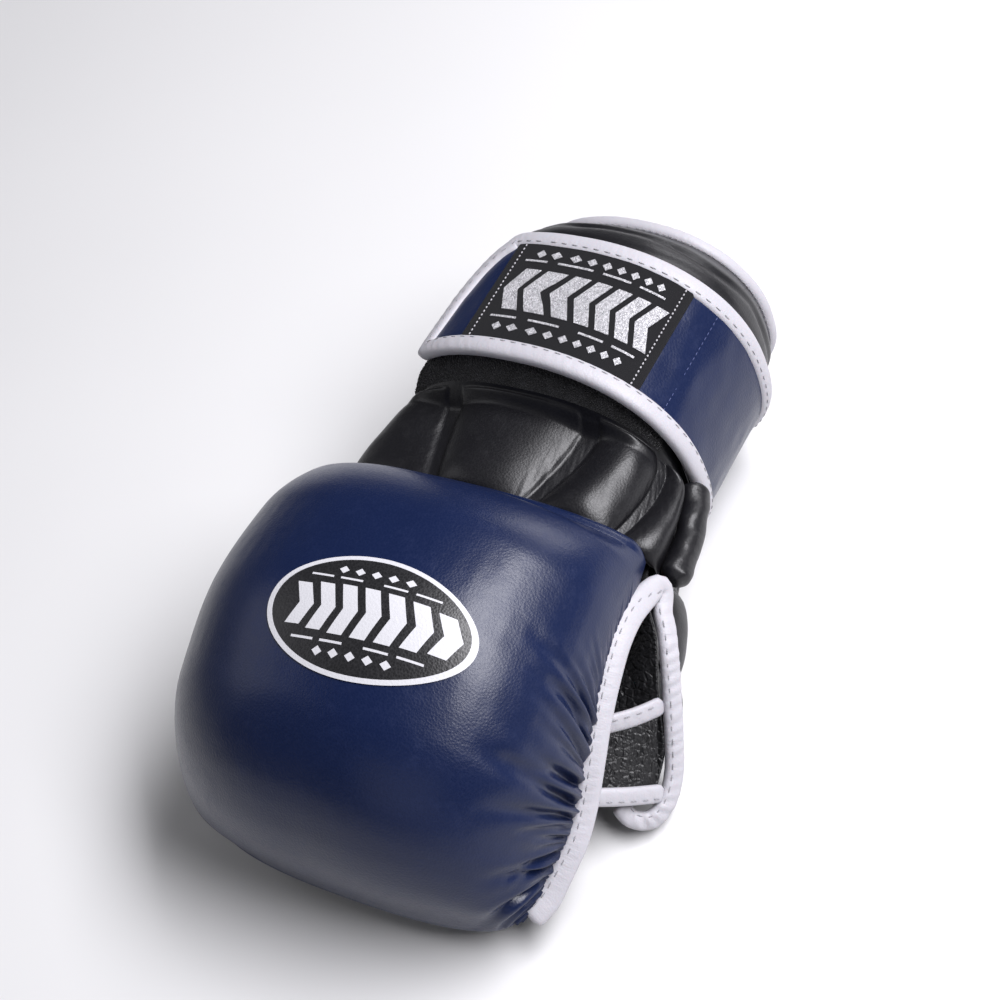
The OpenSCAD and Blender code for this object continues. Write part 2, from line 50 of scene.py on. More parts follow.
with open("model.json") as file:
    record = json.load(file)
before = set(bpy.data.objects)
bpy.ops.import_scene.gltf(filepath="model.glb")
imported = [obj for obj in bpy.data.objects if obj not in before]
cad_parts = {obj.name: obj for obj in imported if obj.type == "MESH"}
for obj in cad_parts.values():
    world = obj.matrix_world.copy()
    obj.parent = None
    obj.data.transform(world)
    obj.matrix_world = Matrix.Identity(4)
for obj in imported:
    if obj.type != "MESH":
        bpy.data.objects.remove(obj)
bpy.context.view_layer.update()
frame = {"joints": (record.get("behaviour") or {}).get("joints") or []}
HINGES = {joint["name"]: Vector(joint["pos_m"]) for joint in frame["joints"]}
KNUCKLE = HINGES["knuckle_flex"]
ORIGIN = Vector((KNUCKLE.x, KNUCKLE.y, 0))  # the knuckle line, on the ground
MM = 0.001
FOLD = ("hand", "fingers", (0, 8, 5), (0, -30, 45))  # the hand, the fingers and a stretch across the knuckles
STRAP_CENTRE, PAD_CENTRE = (0, 66, 46), (0, -50, 30)  # points inside the strap and the pad
LEATHER_THICK, CLOTH_THICK = 1.2, 1.0
TAPE_WIDTH, TAPE_HEIGHT = 6.8, 4.8
SEWN_TAPE = ("white_tape", "grey_thread")


# ---- Small maths. Lengths are in millimetres from the knuckle line ----------


def place(point):
    return ORIGIN + Vector(point) * MM


def mix(a, b, t):
    return a + (b - a) * t


def clamp(t):
    return min(1.0, max(0.0, t))


def ease(t):
    t = clamp(t)
    return t * t * (3 - 2 * t)


def spow(value, power):
    return math.copysign(abs(value) ** power, value)


def sind(angle):
    return math.sin(math.radians(angle))


def cosd(angle):
    return math.cos(math.radians(angle))


def dip(distance, width):
    """1 on a line, and 0 a few widths away from it."""
    return math.exp(-((distance / width) ** 2))


def waver(*at):
    """Smooth noise from -1 to 1."""
    return noise.noise(Vector((*at, 0, 0)[:3]))


class Table:
    """Sizes given at a few stations, read smoothly between them without overshoot."""

    def __init__(self, rows):
        rows = np.array(rows, float)
        self.at, self.values = rows[:, 0], rows[:, 1:]
        gaps = np.diff(self.at)[:, None]
        rise = np.diff(self.values, axis=0) / gaps
        slopes = np.zeros_like(self.values)
        slopes[0], slopes[-1] = rise[0], rise[-1]
        before, after = rise[:-1], rise[1:]
        same = before * after > 0
        safe = np.where(same, before + after, 1)
        slopes[1:-1] = np.where(same, 2 * before * after / safe, 0)
        self.slopes = slopes
        self.read = functools.lru_cache(maxsize=None)(self._read)

    def _read(self, at):
        i = int(np.clip(np.searchsorted(self.at, at) - 1, 0, len(self.at) - 2))
        gap = self.at[i + 1] - self.at[i]
        t = clamp((at - self.at[i]) / gap)
        a, b = self.values[i], self.values[i + 1]
        sa, sb = self.slopes[i] * gap, self.slopes[i + 1] * gap
        curve = (
            a * (2 * t**3 - 3 * t**2 + 1)
            + sa * (t**3 - 2 * t**2 + t)
            + b * (3 * t**2 - 2 * t**3)
            + sb * (t**3 - t**2)
        )
        return tuple(float(x) for x in curve)

    def __call__(self, at):
        return self.read(round(float(at), 5))


def smooth_route(points, pitch):
    """Evenly spaced points on a smooth curve through a few given ones."""
    p = [Vector(x) for x in points]
    p = [2 * p[0] - p[1], *p, 2 * p[-1] - p[-2]]
    fine = []
    for i in range(1, len(p) - 2):
        for k in range(16):
            t = k / 16
            fine.append(
                0.5
                * (
                    2 * p[i]
                    + (p[i + 1] - p[i - 1]) * t
                    + (2 * p[i - 1] - 5 * p[i] + 4 * p[i + 1] - p[i + 2]) * t**2
                    + (3 * p[i] - p[i - 1] - 3 * p[i + 1] + p[i + 2]) * t**3
                )
            )
    fine.append(p[-2])
    way = [0.0]
    for a, b in zip(fine, fine[1:]):
        way.append(way[-1] + (b - a).length)
    count = max(2, round(way[-1] / pitch))
    flat = np.array(fine)
    goal = np.linspace(0, way[-1], count + 1)
    return [
        Vector(x) for x in np.stack([np.interp(goal, way, flat[:, k]) for k in range(3)], 1)
    ]


# ---- Meshes -----------------------------------------------------------------


def lattice(across, along, surface, size=(1, 1), wrap=False):
    """A grid bent to surface(u, v), with its UVs in millimetres; wrap joins the v ends."""
    bm = bmesh.new()
    bmesh.ops.create_grid(bm, x_segments=across, y_segments=along, size=0.5)
    uv = bm.loops.layers.uv.new("UVMap")
    for face in bm.faces:
        for loop in face.loops:
            u, v = loop.vert.co.x + 0.5, loop.vert.co.y + 0.5
            loop[uv].uv = (u * size[0], v * size[1])
    for vert in bm.verts:
        vert.co = place(surface(clamp(vert.co.x + 0.5), clamp(vert.co.y + 0.5)))
    if wrap:
        bmesh.ops.remove_doubles(bm, verts=bm.verts, dist=1e-6)
    return bm


def facing_out(bm, inside):
    """Turns the faces away from a point inside the glove."""
    bmesh.ops.recalc_face_normals(bm, faces=bm.faces)
    centre = place(inside)
    flow = sum(
        f.normal.dot(f.calc_center_median() - centre) * f.calc_area() for f in bm.faces
    )
    if flow < 0:
        bmesh.ops.reverse_faces(bm, faces=bm.faces)


def piece(bm, name, finishes, body, stands_for=(), inside=(0, 30, 42), thick=0.0, rounds=0,
          smooth=True):
    """Turns a mesh into a finished piece, standing for its CAD nodes, which it hides; a named body carries
    it, while a piece given two bodies and a stretch is only baked in place.
    """
    facing_out(bm, inside)
    mesh = bpy.data.meshes.new(name)
    bm.to_mesh(mesh)
    bm.free()
    for polygon in mesh.polygons:
        polygon.use_smooth = smooth
    obj = bpy.data.objects.new(name, mesh)
    bpy.context.scene.collection.objects.link(obj)
    names = [finishes] if isinstance(finishes, str) else finishes
    for finish in names:
        mesh.materials.append(FINISHES[finish]())
    if thick:
        wall = obj.modifiers.new("wall", "SOLIDIFY")
        wall.thickness, wall.offset = thick * MM, -1
        wall.use_even_offset = False
    if rounds:
        soft = obj.modifiers.new("soft", "SUBSURF")
        soft.levels = soft.render_levels = rounds
    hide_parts(*stands_for)
    if isinstance(body, str):
        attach(obj, body)
    else:
        first, second, start, end = body
        place(start)
        place(end)
        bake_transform(obj)
    return obj


FILL_FRAMES = 20
FILL_PRESSURE = 8.0
FILL_STRETCH, FILL_SHEAR, FILL_BEND = 10, 6, 0.5  # how stiff the cloth is


def filling(across, along, surface, sewn, inside, cap):
    """Cloth under pressure on a coarse pattern of a padded piece, held where sewn(u, v) says.

    Returns the move in millimetres at any (u, v), never more than cap. At this pressure and
    stiffness no point moves by more than 0.5 mm, so the padding's shape is its surface's own."""
    bm = bmesh.new()
    bmesh.ops.create_grid(bm, x_segments=across, y_segments=along, size=0.5)
    spots = [(clamp(vert.co.x + 0.5), clamp(vert.co.y + 0.5)) for vert in bm.verts]
    for vert, (u, v) in zip(bm.verts, spots):
        vert.co = place(surface(u, v))
    facing_out(bm, inside)
    mesh = bpy.data.meshes.new("pattern")
    bm.to_mesh(mesh)
    bm.free()
    obj = bpy.data.objects.new("pattern", mesh)
    scene = bpy.context.scene
    scene.collection.objects.link(obj)
    held = [i for i, (u, v) in enumerate(spots) if sewn(u, v)]
    obj.vertex_groups.new(name="sewn").add(held, 1.0, "REPLACE")
    cloth = obj.modifiers.new("filling", "CLOTH")
    how = cloth.settings
    how.vertex_group_mass = "sewn"
    how.quality = 5
    how.mass = 0.002
    how.tension_stiffness = how.compression_stiffness = FILL_STRETCH
    how.shear_stiffness = FILL_SHEAR
    how.bending_stiffness = FILL_BEND
    how.use_pressure = True
    how.uniform_pressure_force = FILL_PRESSURE
    how.effector_weights.gravity = 0
    cloth.collision_settings.use_collision = False
    cloth.collision_settings.use_self_collision = False
    cloth.point_cache.frame_start, cloth.point_cache.frame_end = 1, FILL_FRAMES
    for number in range(1, FILL_FRAMES + 1):
        scene.frame_set(number)
    filled = obj.evaluated_get(bpy.context.evaluated_depsgraph_get()).to_mesh()
    moves = np.zeros((across + 5, along + 5, 3))
    for (u, v), old, new in zip(spots, mesh.vertices, filled.vertices):
        move = (new.co - old.co) / MM
        if move.length > cap:
            move *= cap / move.length
        moves[round(u * across) + 2, round(v * along) + 2] = move
    print("filling moved", float(np.linalg.norm(moves, axis=2).max()), "mm at most")
    bpy.data.objects.remove(obj)
    bpy.data.meshes.remove(mesh)
    scene.frame_set(1)

    def weights(t):
        return np.array([(1 - t) ** 3, 3 * t**3 - 6 * t**2 + 4,
                         -3 * t**3 + 3 * t**2 + 3 * t + 1, t**3]) / 6

    def moved(u, v):
        x, y = u * across, v * along
        i, j = min(across - 1, int(x)), min(along - 1, int(y))
        block = moves[i + 1 : i + 5, j + 1 : j + 5]
        return Vector(np.einsum("i,j,ijk->k", weights(x - i), weights(y - j), block))

    return moved


TIP_ALONG = Matrix.Rotation(math.pi / 2, 4, "Y")  # a ball's poles turned to lie along X


def stitch(bm, at, along, up, length, width=0.5):
    """One thread stitch lying on a surface."""
    along = along.normalized()
    side = up.cross(along).normalized()
    up = along.cross(side)
    turn = Matrix((along * length, side * width, up * width * 0.8)).transposed().to_4x4()
    turn *= MM
    turn.translation = place(at)
    turn[3][3] = 1
    made = bmesh.ops.create_uvsphere(
        bm, u_segments=6, v_segments=4, radius=0.5, matrix=turn @ TIP_ALONG
    )
    for vert in made["verts"]:
        for face in vert.link_faces:
            face.material_index = 1


def sewing(name, finish, body, stitches, inside):
    """A row of stitches as a piece of its own."""
    bm = bmesh.new()
    for each in stitches:
        stitch(bm, *each)
    for face in bm.faces:
        face.material_index = 0
    return piece(bm, name, finish, body, inside=inside)


def tape(route, out, width, height, row=None, pucker=0.0, closed=False, seed=0.0, pitch=1.0,
         gap=3.6, ends=True):
    """A folded leather tape along a route, its face towards out, with a row of stitches.

    row is where its stitches lie, from -1 to 1 across it, and pucker the depth of its creases.
    Both, and the width, may be functions of the share of the way along."""
    points = smooth_route(route, pitch)
    if closed:
        points = points[:-1]
    count = len(points)
    tangents, outs = [], []
    for i, point in enumerate(points):
        after = points[(i + 1) % count] if closed else points[min(count - 1, i + 1)]
        before = points[i - 1] if closed or i else points[0]
        tangent = (after - before).normalized()
        facing = Vector(out(point, i / (count - 1)) if callable(out) else out)
        tangents.append(tangent)
        outs.append((facing - facing.dot(tangent) * tangent).normalized())

    def section(i, angle):
        x, z = spow(cosd(angle), 0.75), spow(sind(angle), 0.75)
        run = i * pitch
        crease = waver(run * 0.11, x * 0.6 + seed, seed) * 0.22
        fold = math.sin(run * 1.7 + x * 2.2 + 3 * waver(run * 0.13 + seed, 1.7))
        deep = pucker(i / count) if callable(pucker) else pucker
        wide = width(i / count) if callable(width) else width
        line = row(i / count) if callable(row) else row
        level = 1.0 if ends else min(1.0, i * pitch / 5, (count - 1 - i) * pitch / 5)
        deep *= level
        crease *= level
        deep *= (0.35 + 0.65 * clamp(0.5 + 2 * waver(run * 0.06, seed + 4.1)))
        if row is not None and z > 0:
            crease -= 0.3 * dip((x - line) * wide / 2, 0.6)
        side = outs[i].cross(tangents[i])
        grow = 1 + (crease * 0.25 + fold * deep * 0.35) / (height / 2) * max(0.2, abs(z))
        return side * (x * wide / 2) * (1 + crease * 0.05) + outs[i] * (z * height / 2 * grow)

    steps = count if closed else count - 1
    sides = 22

    def surface(u, v):
        i = round(u * steps)
        thin = 1.0
        if ends and not closed:
            thin = min(1.0, (i + 0.4) / 1.6, (steps - i + 0.4) / 1.6)
        return points[i % count] + section(i % count, 360 * v) * thin**0.5

    bm = lattice(steps, sides, surface, size=(steps * pitch, 22), wrap=True)
    if not closed:
        rims = [e for e in bm.edges if e.is_boundary]
        bmesh.ops.holes_fill(bm, edges=rims, sides=0)
        if not ends:  # a butt joint, so its cap doesn't turn the face's shading
            bmesh.ops.split_edges(bm, edges=rims)
    if row is not None:
        every = max(2, round(gap / pitch))
        for i in range(every, count - every // 2, every):
            line = row(i / count) if callable(row) else row
            angle = math.degrees(math.acos(spow(line, 1 / 0.75)))
            at = points[i] + section(i, angle) + outs[i] * 0.12
            stitch(bm, at, tangents[i], outs[i], gap * pitch * 0.62)
    return bm


def applique(shapes, onto, pitch=1.5, thick=0.25):
    """Flat outlines cut on a fine grid, laid onto a surface by onto(x, y, height)."""
    bm = bmesh.new()
    for outline in shapes:
        bm.faces.new([bm.verts.new((x, y, 0)) for x, y in outline])
    low = [min(v.co[k] for v in bm.verts) for k in (0, 1)]
    high = [max(v.co[k] for v in bm.verts) for k in (0, 1)]
    for k, normal in ((0, (1, 0, 0)), (1, (0, 1, 0))):
        cut = low[k] + pitch / 2
        while cut < high[k]:
            at = Vector((0, 0, 0))
            at[k] = cut
            geometry = bm.verts[:] + bm.edges[:] + bm.faces[:]
            bmesh.ops.bisect_plane(bm, geom=geometry, plane_co=at, plane_no=normal)
            cut += pitch
    bmesh.ops.triangulate(bm, faces=[f for f in bm.faces if len(f.verts) > 4])
    bmesh.ops.recalc_face_normals(bm, faces=bm.faces)
    uv = bm.loops.layers.uv.new("UVMap")
    for face in bm.faces:
        for loop in face.loops:
            loop[uv].uv = loop.vert.co.xy
    made = bmesh.ops.extrude_face_region(bm, geom=bm.faces[:])
    raised = {item for item in made["geom"] if isinstance(item, bmesh.types.BMVert)}
    for vert in bm.verts:
        vert.co = onto(vert.co.x, vert.co.y, thick if vert in raised else -0.15)
    return bm


# ---- Shapes of the glove ----------------------------------------------------

# y, half width, top, middle height, bottom of the hand and the cuff
HAND = Table(
    [
        [0, 61, 68.5, 40, 3.2],
        [20, 57, 69, 42, 3.2],
        [33, 53, 71, 45, 4],
        [38, 51, 80, 46.8, 6],
        [43, 50.3, 89.1, 46.8, 7.5],
        [93, 49.8, 88.6, 46.8, 8.0],
        [107, 47.5, 84, 43, 5.5],
        [114, 44, 77.5, 39.5, 4.5],
        [119, 41.5, 73, 37.3, 4],
        [123, 40.0, 70.5, 36, 4],
    ]
)


def oval(half_w, top, mid, bottom, y, angle):
    """A closed section: 0 is the thumb side, 90 the back of the hand, 270 the palm."""
    c, s = cosd(angle), sind(angle)
    reach = top - mid if s > 0 else mid - bottom
    return Vector((half_w * spow(c, 0.87), y, mid + reach * spow(s, 0.87)))


def hand(y, angle, depth=0.0):
    half_w, top, mid, bottom = HAND(y)
    return oval(half_w + depth, top + depth, mid, bottom - depth, y, angle)


HAND_R = 52  # about, for lengths round the hand and the strap
LANE_FRONT = (8, 41, 76, 106, 166)  # angles of the flat lanes at the knuckles
LANE_REAR = (4, 22, 63, 118, 158)  # and at the strap
LANE_HALF = (2.0, 4.0)  # half their width in degrees, there and there


def lane(k, y):
    return mix(LANE_FRONT[k], LANE_REAR[k], clamp((y - 4) / 32))


STRAP_W, STRAP_RISE, STRAP_DROP, STRAP_MID = 56, 48, 45, 46.8
STRAP_Y0, STRAP_Y1 = 39.4, 92.9
STRAP_START, STRAP_SEWN, LABEL_END, STRAP_TIP = -106, 28, 112.5, 131
STRAP_SPLIT = 100  # where the strap's leather is joined, under the label
STRAP_CORNER = STRAP_TIP - 22
PEEL = ("hand", "strap_flap")
LIFT = ("strap_flap", "strap_tip")


def strap(y, angle, depth=0.0):
    top, bottom = STRAP_MID + STRAP_RISE, STRAP_MID - STRAP_DROP
    return oval(STRAP_W + depth, top + depth, STRAP_MID, bottom - depth, y, angle)


def strap_hi(angle):
    if angle <= STRAP_CORNER:
        return STRAP_Y1
    turn = (angle - STRAP_CORNER) / 22.4
    return STRAP_Y1 - 46 * (1 - math.sqrt(max(0, 1 - turn**2)))


def strap_lo(angle):
    if angle <= STRAP_TIP - 3:
        return STRAP_Y0
    return STRAP_Y0 + 3 * ((angle - STRAP_TIP + 3) / 3) ** 2


def strap_bend(pair, angle):
    """The stretch of strap that turns at a hinge, with its two bodies."""
    return (*pair, tuple(strap(STRAP_CENTRE[1], angle - 3.5)), tuple(strap(STRAP_CENTRE[1], angle + 3.5)))


PAD_FULL = 2.5  # fullness of the pad's section
# s; edge half width, y, z; spine y, z; bulge; roof y, z
PAD = Table(
    [
        [0.00, 60, -1, 57, -2, 77, 2, 0, 61],
        [0.08, 62, -10, 53, -8, 90, 3, -9, 61],
        [0.25, 64, -29, 48.5, -30, 102, 5, -30, 60],
        [0.45, 65, -56, 38, -60, 104, 6, -56, 54],
        [0.65, 65, -78, 25, -93, 94, 6, -80, 45],
        [0.82, 62, -92, 18, -117, 70, 5, -96, 34],
        [0.93, 60, -99, 15, -125, 42, 3, -104, 24],
        [1.00, 57, -105, 14, -120, 16, 1, -108, 17],
    ]
)


# s; how the sewn edge on the thumb side is drawn in, forward and up
THUMB_EDGE = Table(
    [[0, 0, 0, 0], [0.12, -1.5, -1.5, 2.5], [0.22, -2.2, -3, 4], [0.35, -1.8, -2.5, 3],
     [0.5, -0.5, -0.8, 1], [0.62, 0, 0, 0], [1, 0, 0, 0]]
)


def pad(s, q):
    """The knuckle pad: s runs from the knuckles to its front edge, q from -1 to the thumb's 1."""
    ew, ey, ez, spine_y, spine_z, bulge, _, _ = PAD(s)
    h = max(0.0, 1 - abs(q) ** PAD_FULL) ** (1 / PAD_FULL)
    side = (1.2 if q < 0 else 0.6) * math.copysign(1, q)
    at = Vector((ew * q + bulge * sind(180 * h) * side, mix(ey, spine_y, h), mix(ez, spine_z, h)))
    return at + Vector(THUMB_EDGE(s)) * (1 - h) ** 2 if q > 0 else at


def roof(s, q):
    """The lining under the pad."""
    ew, ey, ez, _, _, _, roof_y, roof_z = PAD(s)
    r = 1 - q * q
    return Vector((0.93 * ew * q, mix(ey, roof_y, r), mix(ez + 1, roof_z, r)))


def pad_q(v):
    return -spow(cosd(mix(0.6, 179.4, v)), 2 / PAD_FULL)


def pad_edge(s, side):
    ew, ey, ez = PAD(s)[:3]
    at = Vector((side * (ew + 1.7), ey - 0.4, ez + 0.6))
    return at + Vector(THUMB_EDGE(s)) if side > 0 else at


THUMB_ROUTE = [
    (63.4, -7.6, 53.0),
    (64.6, -3.6, 51.6),
    (65.6, -4.4, 48.6),
    (67.4, -9.4, 46.2),
    (70, -13.5, 44),
    (73, -20, 39.5),
    (75.5, -28, 31),
    (77.5, -36, 21.5),
    (79, -44, 12.4),
    (79, -52, 7.4),
    (76.5, -58.5, 5.8),
    (71.5, -61.5, 8),
    (67, -60, 12),
]
OUTER_ROUTE = [
    (-64.2, -6.5, 52.4),
    (-65.6, -5.2, 49.2),
    (-66.4, -9.5, 45.2),
    (-67, -17, 37),
    (-64, -30, 24),
    (-62, -46, 14),
    (-57, -56, 9),
]
# y; edge x, edge z, height over the thumb
PALM = Table(
    [
        [-53, 76, 9.5, 8],
        [-42, 76, 16.5, 24],
        [-28, 71.5, 32, 28],
        [-16, 67.5, 42, 28.5],
        [-6, 60.5, 48, 28.5],
        [5, 56, 47, 28.5],
    ]
)


def palm(y, t, depth=0.0):
    """The palm's front: t is 0 at the little finger, 1 over the thumb and 2 at its edge."""
    edge_x, edge_z, over = PALM(y)
    x = mix(-56, 46, t) if t < 1 else mix(46, edge_x, t - 1)
    floor_z = 4.4 + 9 * ease((-42 - x) / 14) + (over - 4.4) * ease((x - 20) / 11)
    z = mix(over, edge_z, ease(t - 1)) if t > 1 else floor_z
    tuck = 9 * ease((y + 20) / 22) * clamp(1 - t) ** 3  # in to the hand's outer side
    return Vector((x + tuck, y, z + depth))


def web(u, v, side):
    """The leather strip between the pad's edge and the palm's."""
    top = Vector((60.5, -50, 35)).lerp(Vector((60.5, -65.5, 26)), u)
    low = Vector((72, -36, 29)).lerp(Vector((75.0, -51.5, 14.5)), u)
    if side < 0:
        low = Vector((62.5, -34, 20.5)).lerp(Vector((58.5, -52, 11)), u)
    at = top.lerp(low, v)
    return Vector((side * (at.x + 1.2 * sind(180 * v)), at.y, at.z))


THUMB_R = 10.5
THUMB_PAD = 4.2
THUMB_ROOT, THUMB_JOINT, THUMB_END = (
    Vector((41, 14, 14.5)),
    Vector((53, -17, 12.6)),
    Vector((61.5, -36, 12)),
)
THUMB_LEN = (THUMB_JOINT - THUMB_ROOT).length
TIP_LEN = (THUMB_END - THUMB_JOINT).length


def thumb(along, angle, radius):
    """Round the thumb's line; angle 0 points away from the hand and 90 up."""
    first = (THUMB_JOINT - THUMB_ROOT).normalized()
    second = (THUMB_END - THUMB_JOINT).normalized()
    if along < THUMB_LEN:
        at = THUMB_ROOT + first * along
    else:
        at = THUMB_JOINT + second * (along - THUMB_LEN)
    way = first.lerp(second, ease((along - THUMB_LEN + 6) / 12)).normalized()
    side = -way.cross(Vector((0, 0, 1))).normalized()
    up = way.cross(side)
    up = up if up.z > 0 else -up
    return at + radius * (side * cosd(angle) + up * sind(angle))


def finger_ring(k, y, v, inset=0.0):
    """A finger loop's rounded section, k counting from the index finger."""
    outside = k in (0, 3)
    hz = (10 if outside else 13.5) - inset
    hx = 13.85 - inset
    c, s = spow(cosd(360 * v), 0.5), spow(sind(360 * v), 0.5)
    return Vector(((1.5 - k) * 28 + hx * c, y, 10 + (10 if outside else 13.5) + hz * s))


# ---- Shader maths -----------------------------------------------------------


class Wire:
    """A number or colour on its way through a material. Sums and products add Math nodes."""

    def __init__(self, finish, socket):
        self.finish, self.socket = finish, socket

    def sum(self, operation, first, second):
        return self.finish.node("ShaderNodeMath", {"operation": operation}, {0: first, 1: second})

    def __add__(self, other):
        return self.sum("ADD", self, other)

    def __radd__(self, other):
        return self.sum("ADD", other, self)

    def __mul__(self, other):
        return self.sum("MULTIPLY", self, other)

    def __rmul__(self, other):
        return self.sum("MULTIPLY", other, self)


MIX_SHARE, MIX_FIRST, MIX_SECOND, MIX_RESULT = 0, 6, 7, 2  # a Mix node's sockets for colours


class Finish:
    """One material under construction."""

    def __init__(self, name):
        self.material = bpy.data.materials.new(name)
        self.material.use_nodes = True
        self.tree = self.material.node_tree
        self.tree.nodes.clear()

    def node(self, kind, settings=None, sockets=None, output=0):
        """Adds a node: its settings first, then its sockets' values or links."""
        made = self.tree.nodes.new(kind)
        for key, value in (settings or {}).items():
            if key == "stops":
                ramp = made.color_ramp
                while len(ramp.elements) < len(value):
                    ramp.elements.new(0.5)
                for element, (at, shade) in zip(ramp.elements, value):
                    element.position = at
                    element.color = (shade, shade, shade, 1)
            else:
                setattr(made, key, value)
        for key, value in (sockets or {}).items():
            if isinstance(value, Wire):
                self.tree.links.new(value.socket, made.inputs[key])
            else:
                made.inputs[key].default_value = value
        return Wire(self, made.outputs[output]) if made.outputs else None

    def place(self, scale=(1, 1, 1), turn=(0, 0, 0), follow=False):
        """Object coordinates, or the piece's own UVs in millimetres."""
        source = self.node("ShaderNodeTexCoord", output="UV" if follow else "Object")
        return self.node(
            "ShaderNodeMapping", None, {"Vector": source, "Scale": scale, "Rotation": turn}
        )

    def clouds(self, at, scale, detail=2.0, rough=0.5, warp=0.0):
        sockets = {"Vector": at, "Scale": scale, "Detail": detail, "Roughness": rough}
        return self.node("ShaderNodeTexNoise", None, {**sockets, "Distortion": warp})

    def pebbles(self, at, scale, feature="F1", output=0):
        settings = {"feature": feature, "voronoi_dimensions": "3D"}
        return self.node("ShaderNodeTexVoronoi", settings, {"Vector": at, "Scale": scale}, output)

    def ramp(self, value, *stops):
        return self.node("ShaderNodeValToRGB", {"stops": stops}, {0: value})

    def blend(self, share, first, second):
        """Two colours mixed."""
        ends = [c if isinstance(c, Wire) else (*c[:3], 1) for c in (first, second)]
        sockets = {MIX_SHARE: share, MIX_FIRST: ends[0], MIX_SECOND: ends[1]}
        return self.node("ShaderNodeMix", {"data_type": "RGBA"}, sockets, MIX_RESULT)

    def bump(self, height, depth):
        """A height as a normal, its depth in millimetres."""
        sockets = {"Height": height, "Distance": depth * MM, "Strength": 1.0}
        return self.node("ShaderNodeBump", None, sockets)

    def surface(self, **sockets):
        """The finished surface. Words in a socket's name are joined by underscores."""
        values = {key.replace("_", " "): value for key, value in sockets.items()}
        for key in ("Base Color", "Sheen Tint", "Coat Tint", "Specular Tint"):
            if key in values and not isinstance(values[key], Wire):
                values[key] = (*values[key][:3], 1)
        shader = self.node("ShaderNodeBsdfPrincipled", None, values)
        self.node("ShaderNodeOutputMaterial", None, {"Surface": shader})
        return self.material


def settings():
    """The colours that a user chose."""
    return bpy.context.scene.glove


def leather(name, colour, rough, grain=0.10, coat=0.0, streak=0.5, pale=1.5, gloss=0.5):
    """Grained hide with creases, scuffs and a little uneven dye."""
    f = Finish(name)
    at = f.place()
    skewed = f.place(scale=(1.0, 0.34, 0.6), turn=(0.3, 0.2, 0.5))
    cells = f.pebbles(at, 1300, "F1")
    fine = f.clouds(at, 2600, 2.0)
    crease = f.clouds(skewed, 520, 3.0, 0.6, 0.8)
    broad = f.clouds(at, 55, 3.0)
    height = cells * 0.6 + fine * 0.3 + crease * streak + broad * 0.4
    wear = f.ramp(f.clouds(at, 190, 4.0, 0.7), (0.52, 0.0), (0.74, 1.0))
    dye = f.blend(broad, [c * 0.86 for c in colour], [c * 1.12 for c in colour])
    pores = f.ramp(cells, (0.25, 0.0), (0.75, 1.0))
    tone = f.blend(pores * 0.22, dye, [min(1, c * pale + 0.004) for c in colour])
    return f.surface(
        Base_Color=f.blend(wear * 0.12, tone, [min(1, c * 2 + 0.01) for c in colour]),
        Roughness=rough + cells * 0.07 + wear * 0.07 + broad * 0.06,
        Specular_IOR_Level=gloss,
        Coat_Weight=coat,
        Coat_Roughness=0.24,
        Normal=f.bump(height, grain),
    )


def navy_leather():
    return leather("navy_leather", settings().navy, 0.28, 0.075, coat=0.18, streak=0.3,
                   pale=1.25, gloss=0.3)


def black_leather():
    return leather("black_leather", settings().black, 0.33, 0.065, streak=0.2, gloss=0.5)


def creased_leather():
    """Soft thin black hide, heavily creased, with painted shade: darker in the folds' valleys and lighter
    on their ridges.
    """
    f = Finish("creased_leather")
    at = f.place()
    cells = f.pebbles(at, 900)
    folds = f.clouds(f.place(scale=(0.5, 1, 0.5)), 380, 4.0, 0.6, 1.2)
    plates = f.pebbles(f.place(scale=(0.7, 1, 0.7)), 520, "DISTANCE_TO_EDGE")
    cracks = f.ramp(plates, (0, 0), (0.2, 1))
    height = cells * 0.4 + folds * 1.6 + cracks * 0.7
    return f.surface(
        # painted shade: the colour follows the folds' bump, darker in their valleys and lighter on their
        # ridges
        Base_Color=f.blend(folds, [0.004] * 3, [0.012, 0.012, 0.014]),
        Roughness=0.30 + cells * 0.1 + folds * 0.12,
        Specular_IOR_Level=0.45,
        Normal=f.bump(height, 0.32),
    )


def white_tape():
    f = Finish("white_tape")
    at = f.place()
    diagonal = f.place(scale=(1, 0.35, 1), turn=(0, 0, 0.8), follow=True)
    cells = f.pebbles(at, 1500)
    bias = f.clouds(diagonal, 0.9, 3.0, 0.55, 0.4)
    broad = f.clouds(at, 90, 3.0)
    grime = f.ramp(f.clouds(at, 260, 5.0, 0.75), (0.5, 0.0), (0.8, 1.0))
    clean = f.blend(broad, settings().white, [c * 0.93 for c in settings().white])
    return f.surface(
        Base_Color=f.blend(grime * 0.10, clean, [0.28, 0.27, 0.28]),
        Roughness=0.42 + cells * 0.08 + broad * 0.1,
        Subsurface_Weight=0.04,
        Subsurface_Scale=0.001,
        Normal=f.bump(cells * 0.3 + bias * 0.9 + broad * 0.4, 0.16),
    )


def thread(name, colour):
    f = Finish(name)
    twist = f.node(
        "ShaderNodeTexWave",
        {"wave_type": "BANDS", "bands_direction": "DIAGONAL"},
        {"Vector": f.place(), "Scale": 900.0, "Distortion": 1.0},
    )
    return f.surface(
        Base_Color=f.blend(twist, [c * 0.7 for c in colour], colour),
        Roughness=0.6 + twist * 0.15,
        Sheen_Weight=0.2,
        Normal=f.bump(twist, 0.08),
    )


def white_thread():
    return thread("white_thread", [0.50, 0.49, 0.52])


def grey_thread():
    return thread("grey_thread", [0.34, 0.335, 0.36])


def black_thread():
    return thread("black_thread", [0.02, 0.02, 0.025])


def navy_thread():
    return thread("navy_thread", [0.05, 0.07, 0.2])


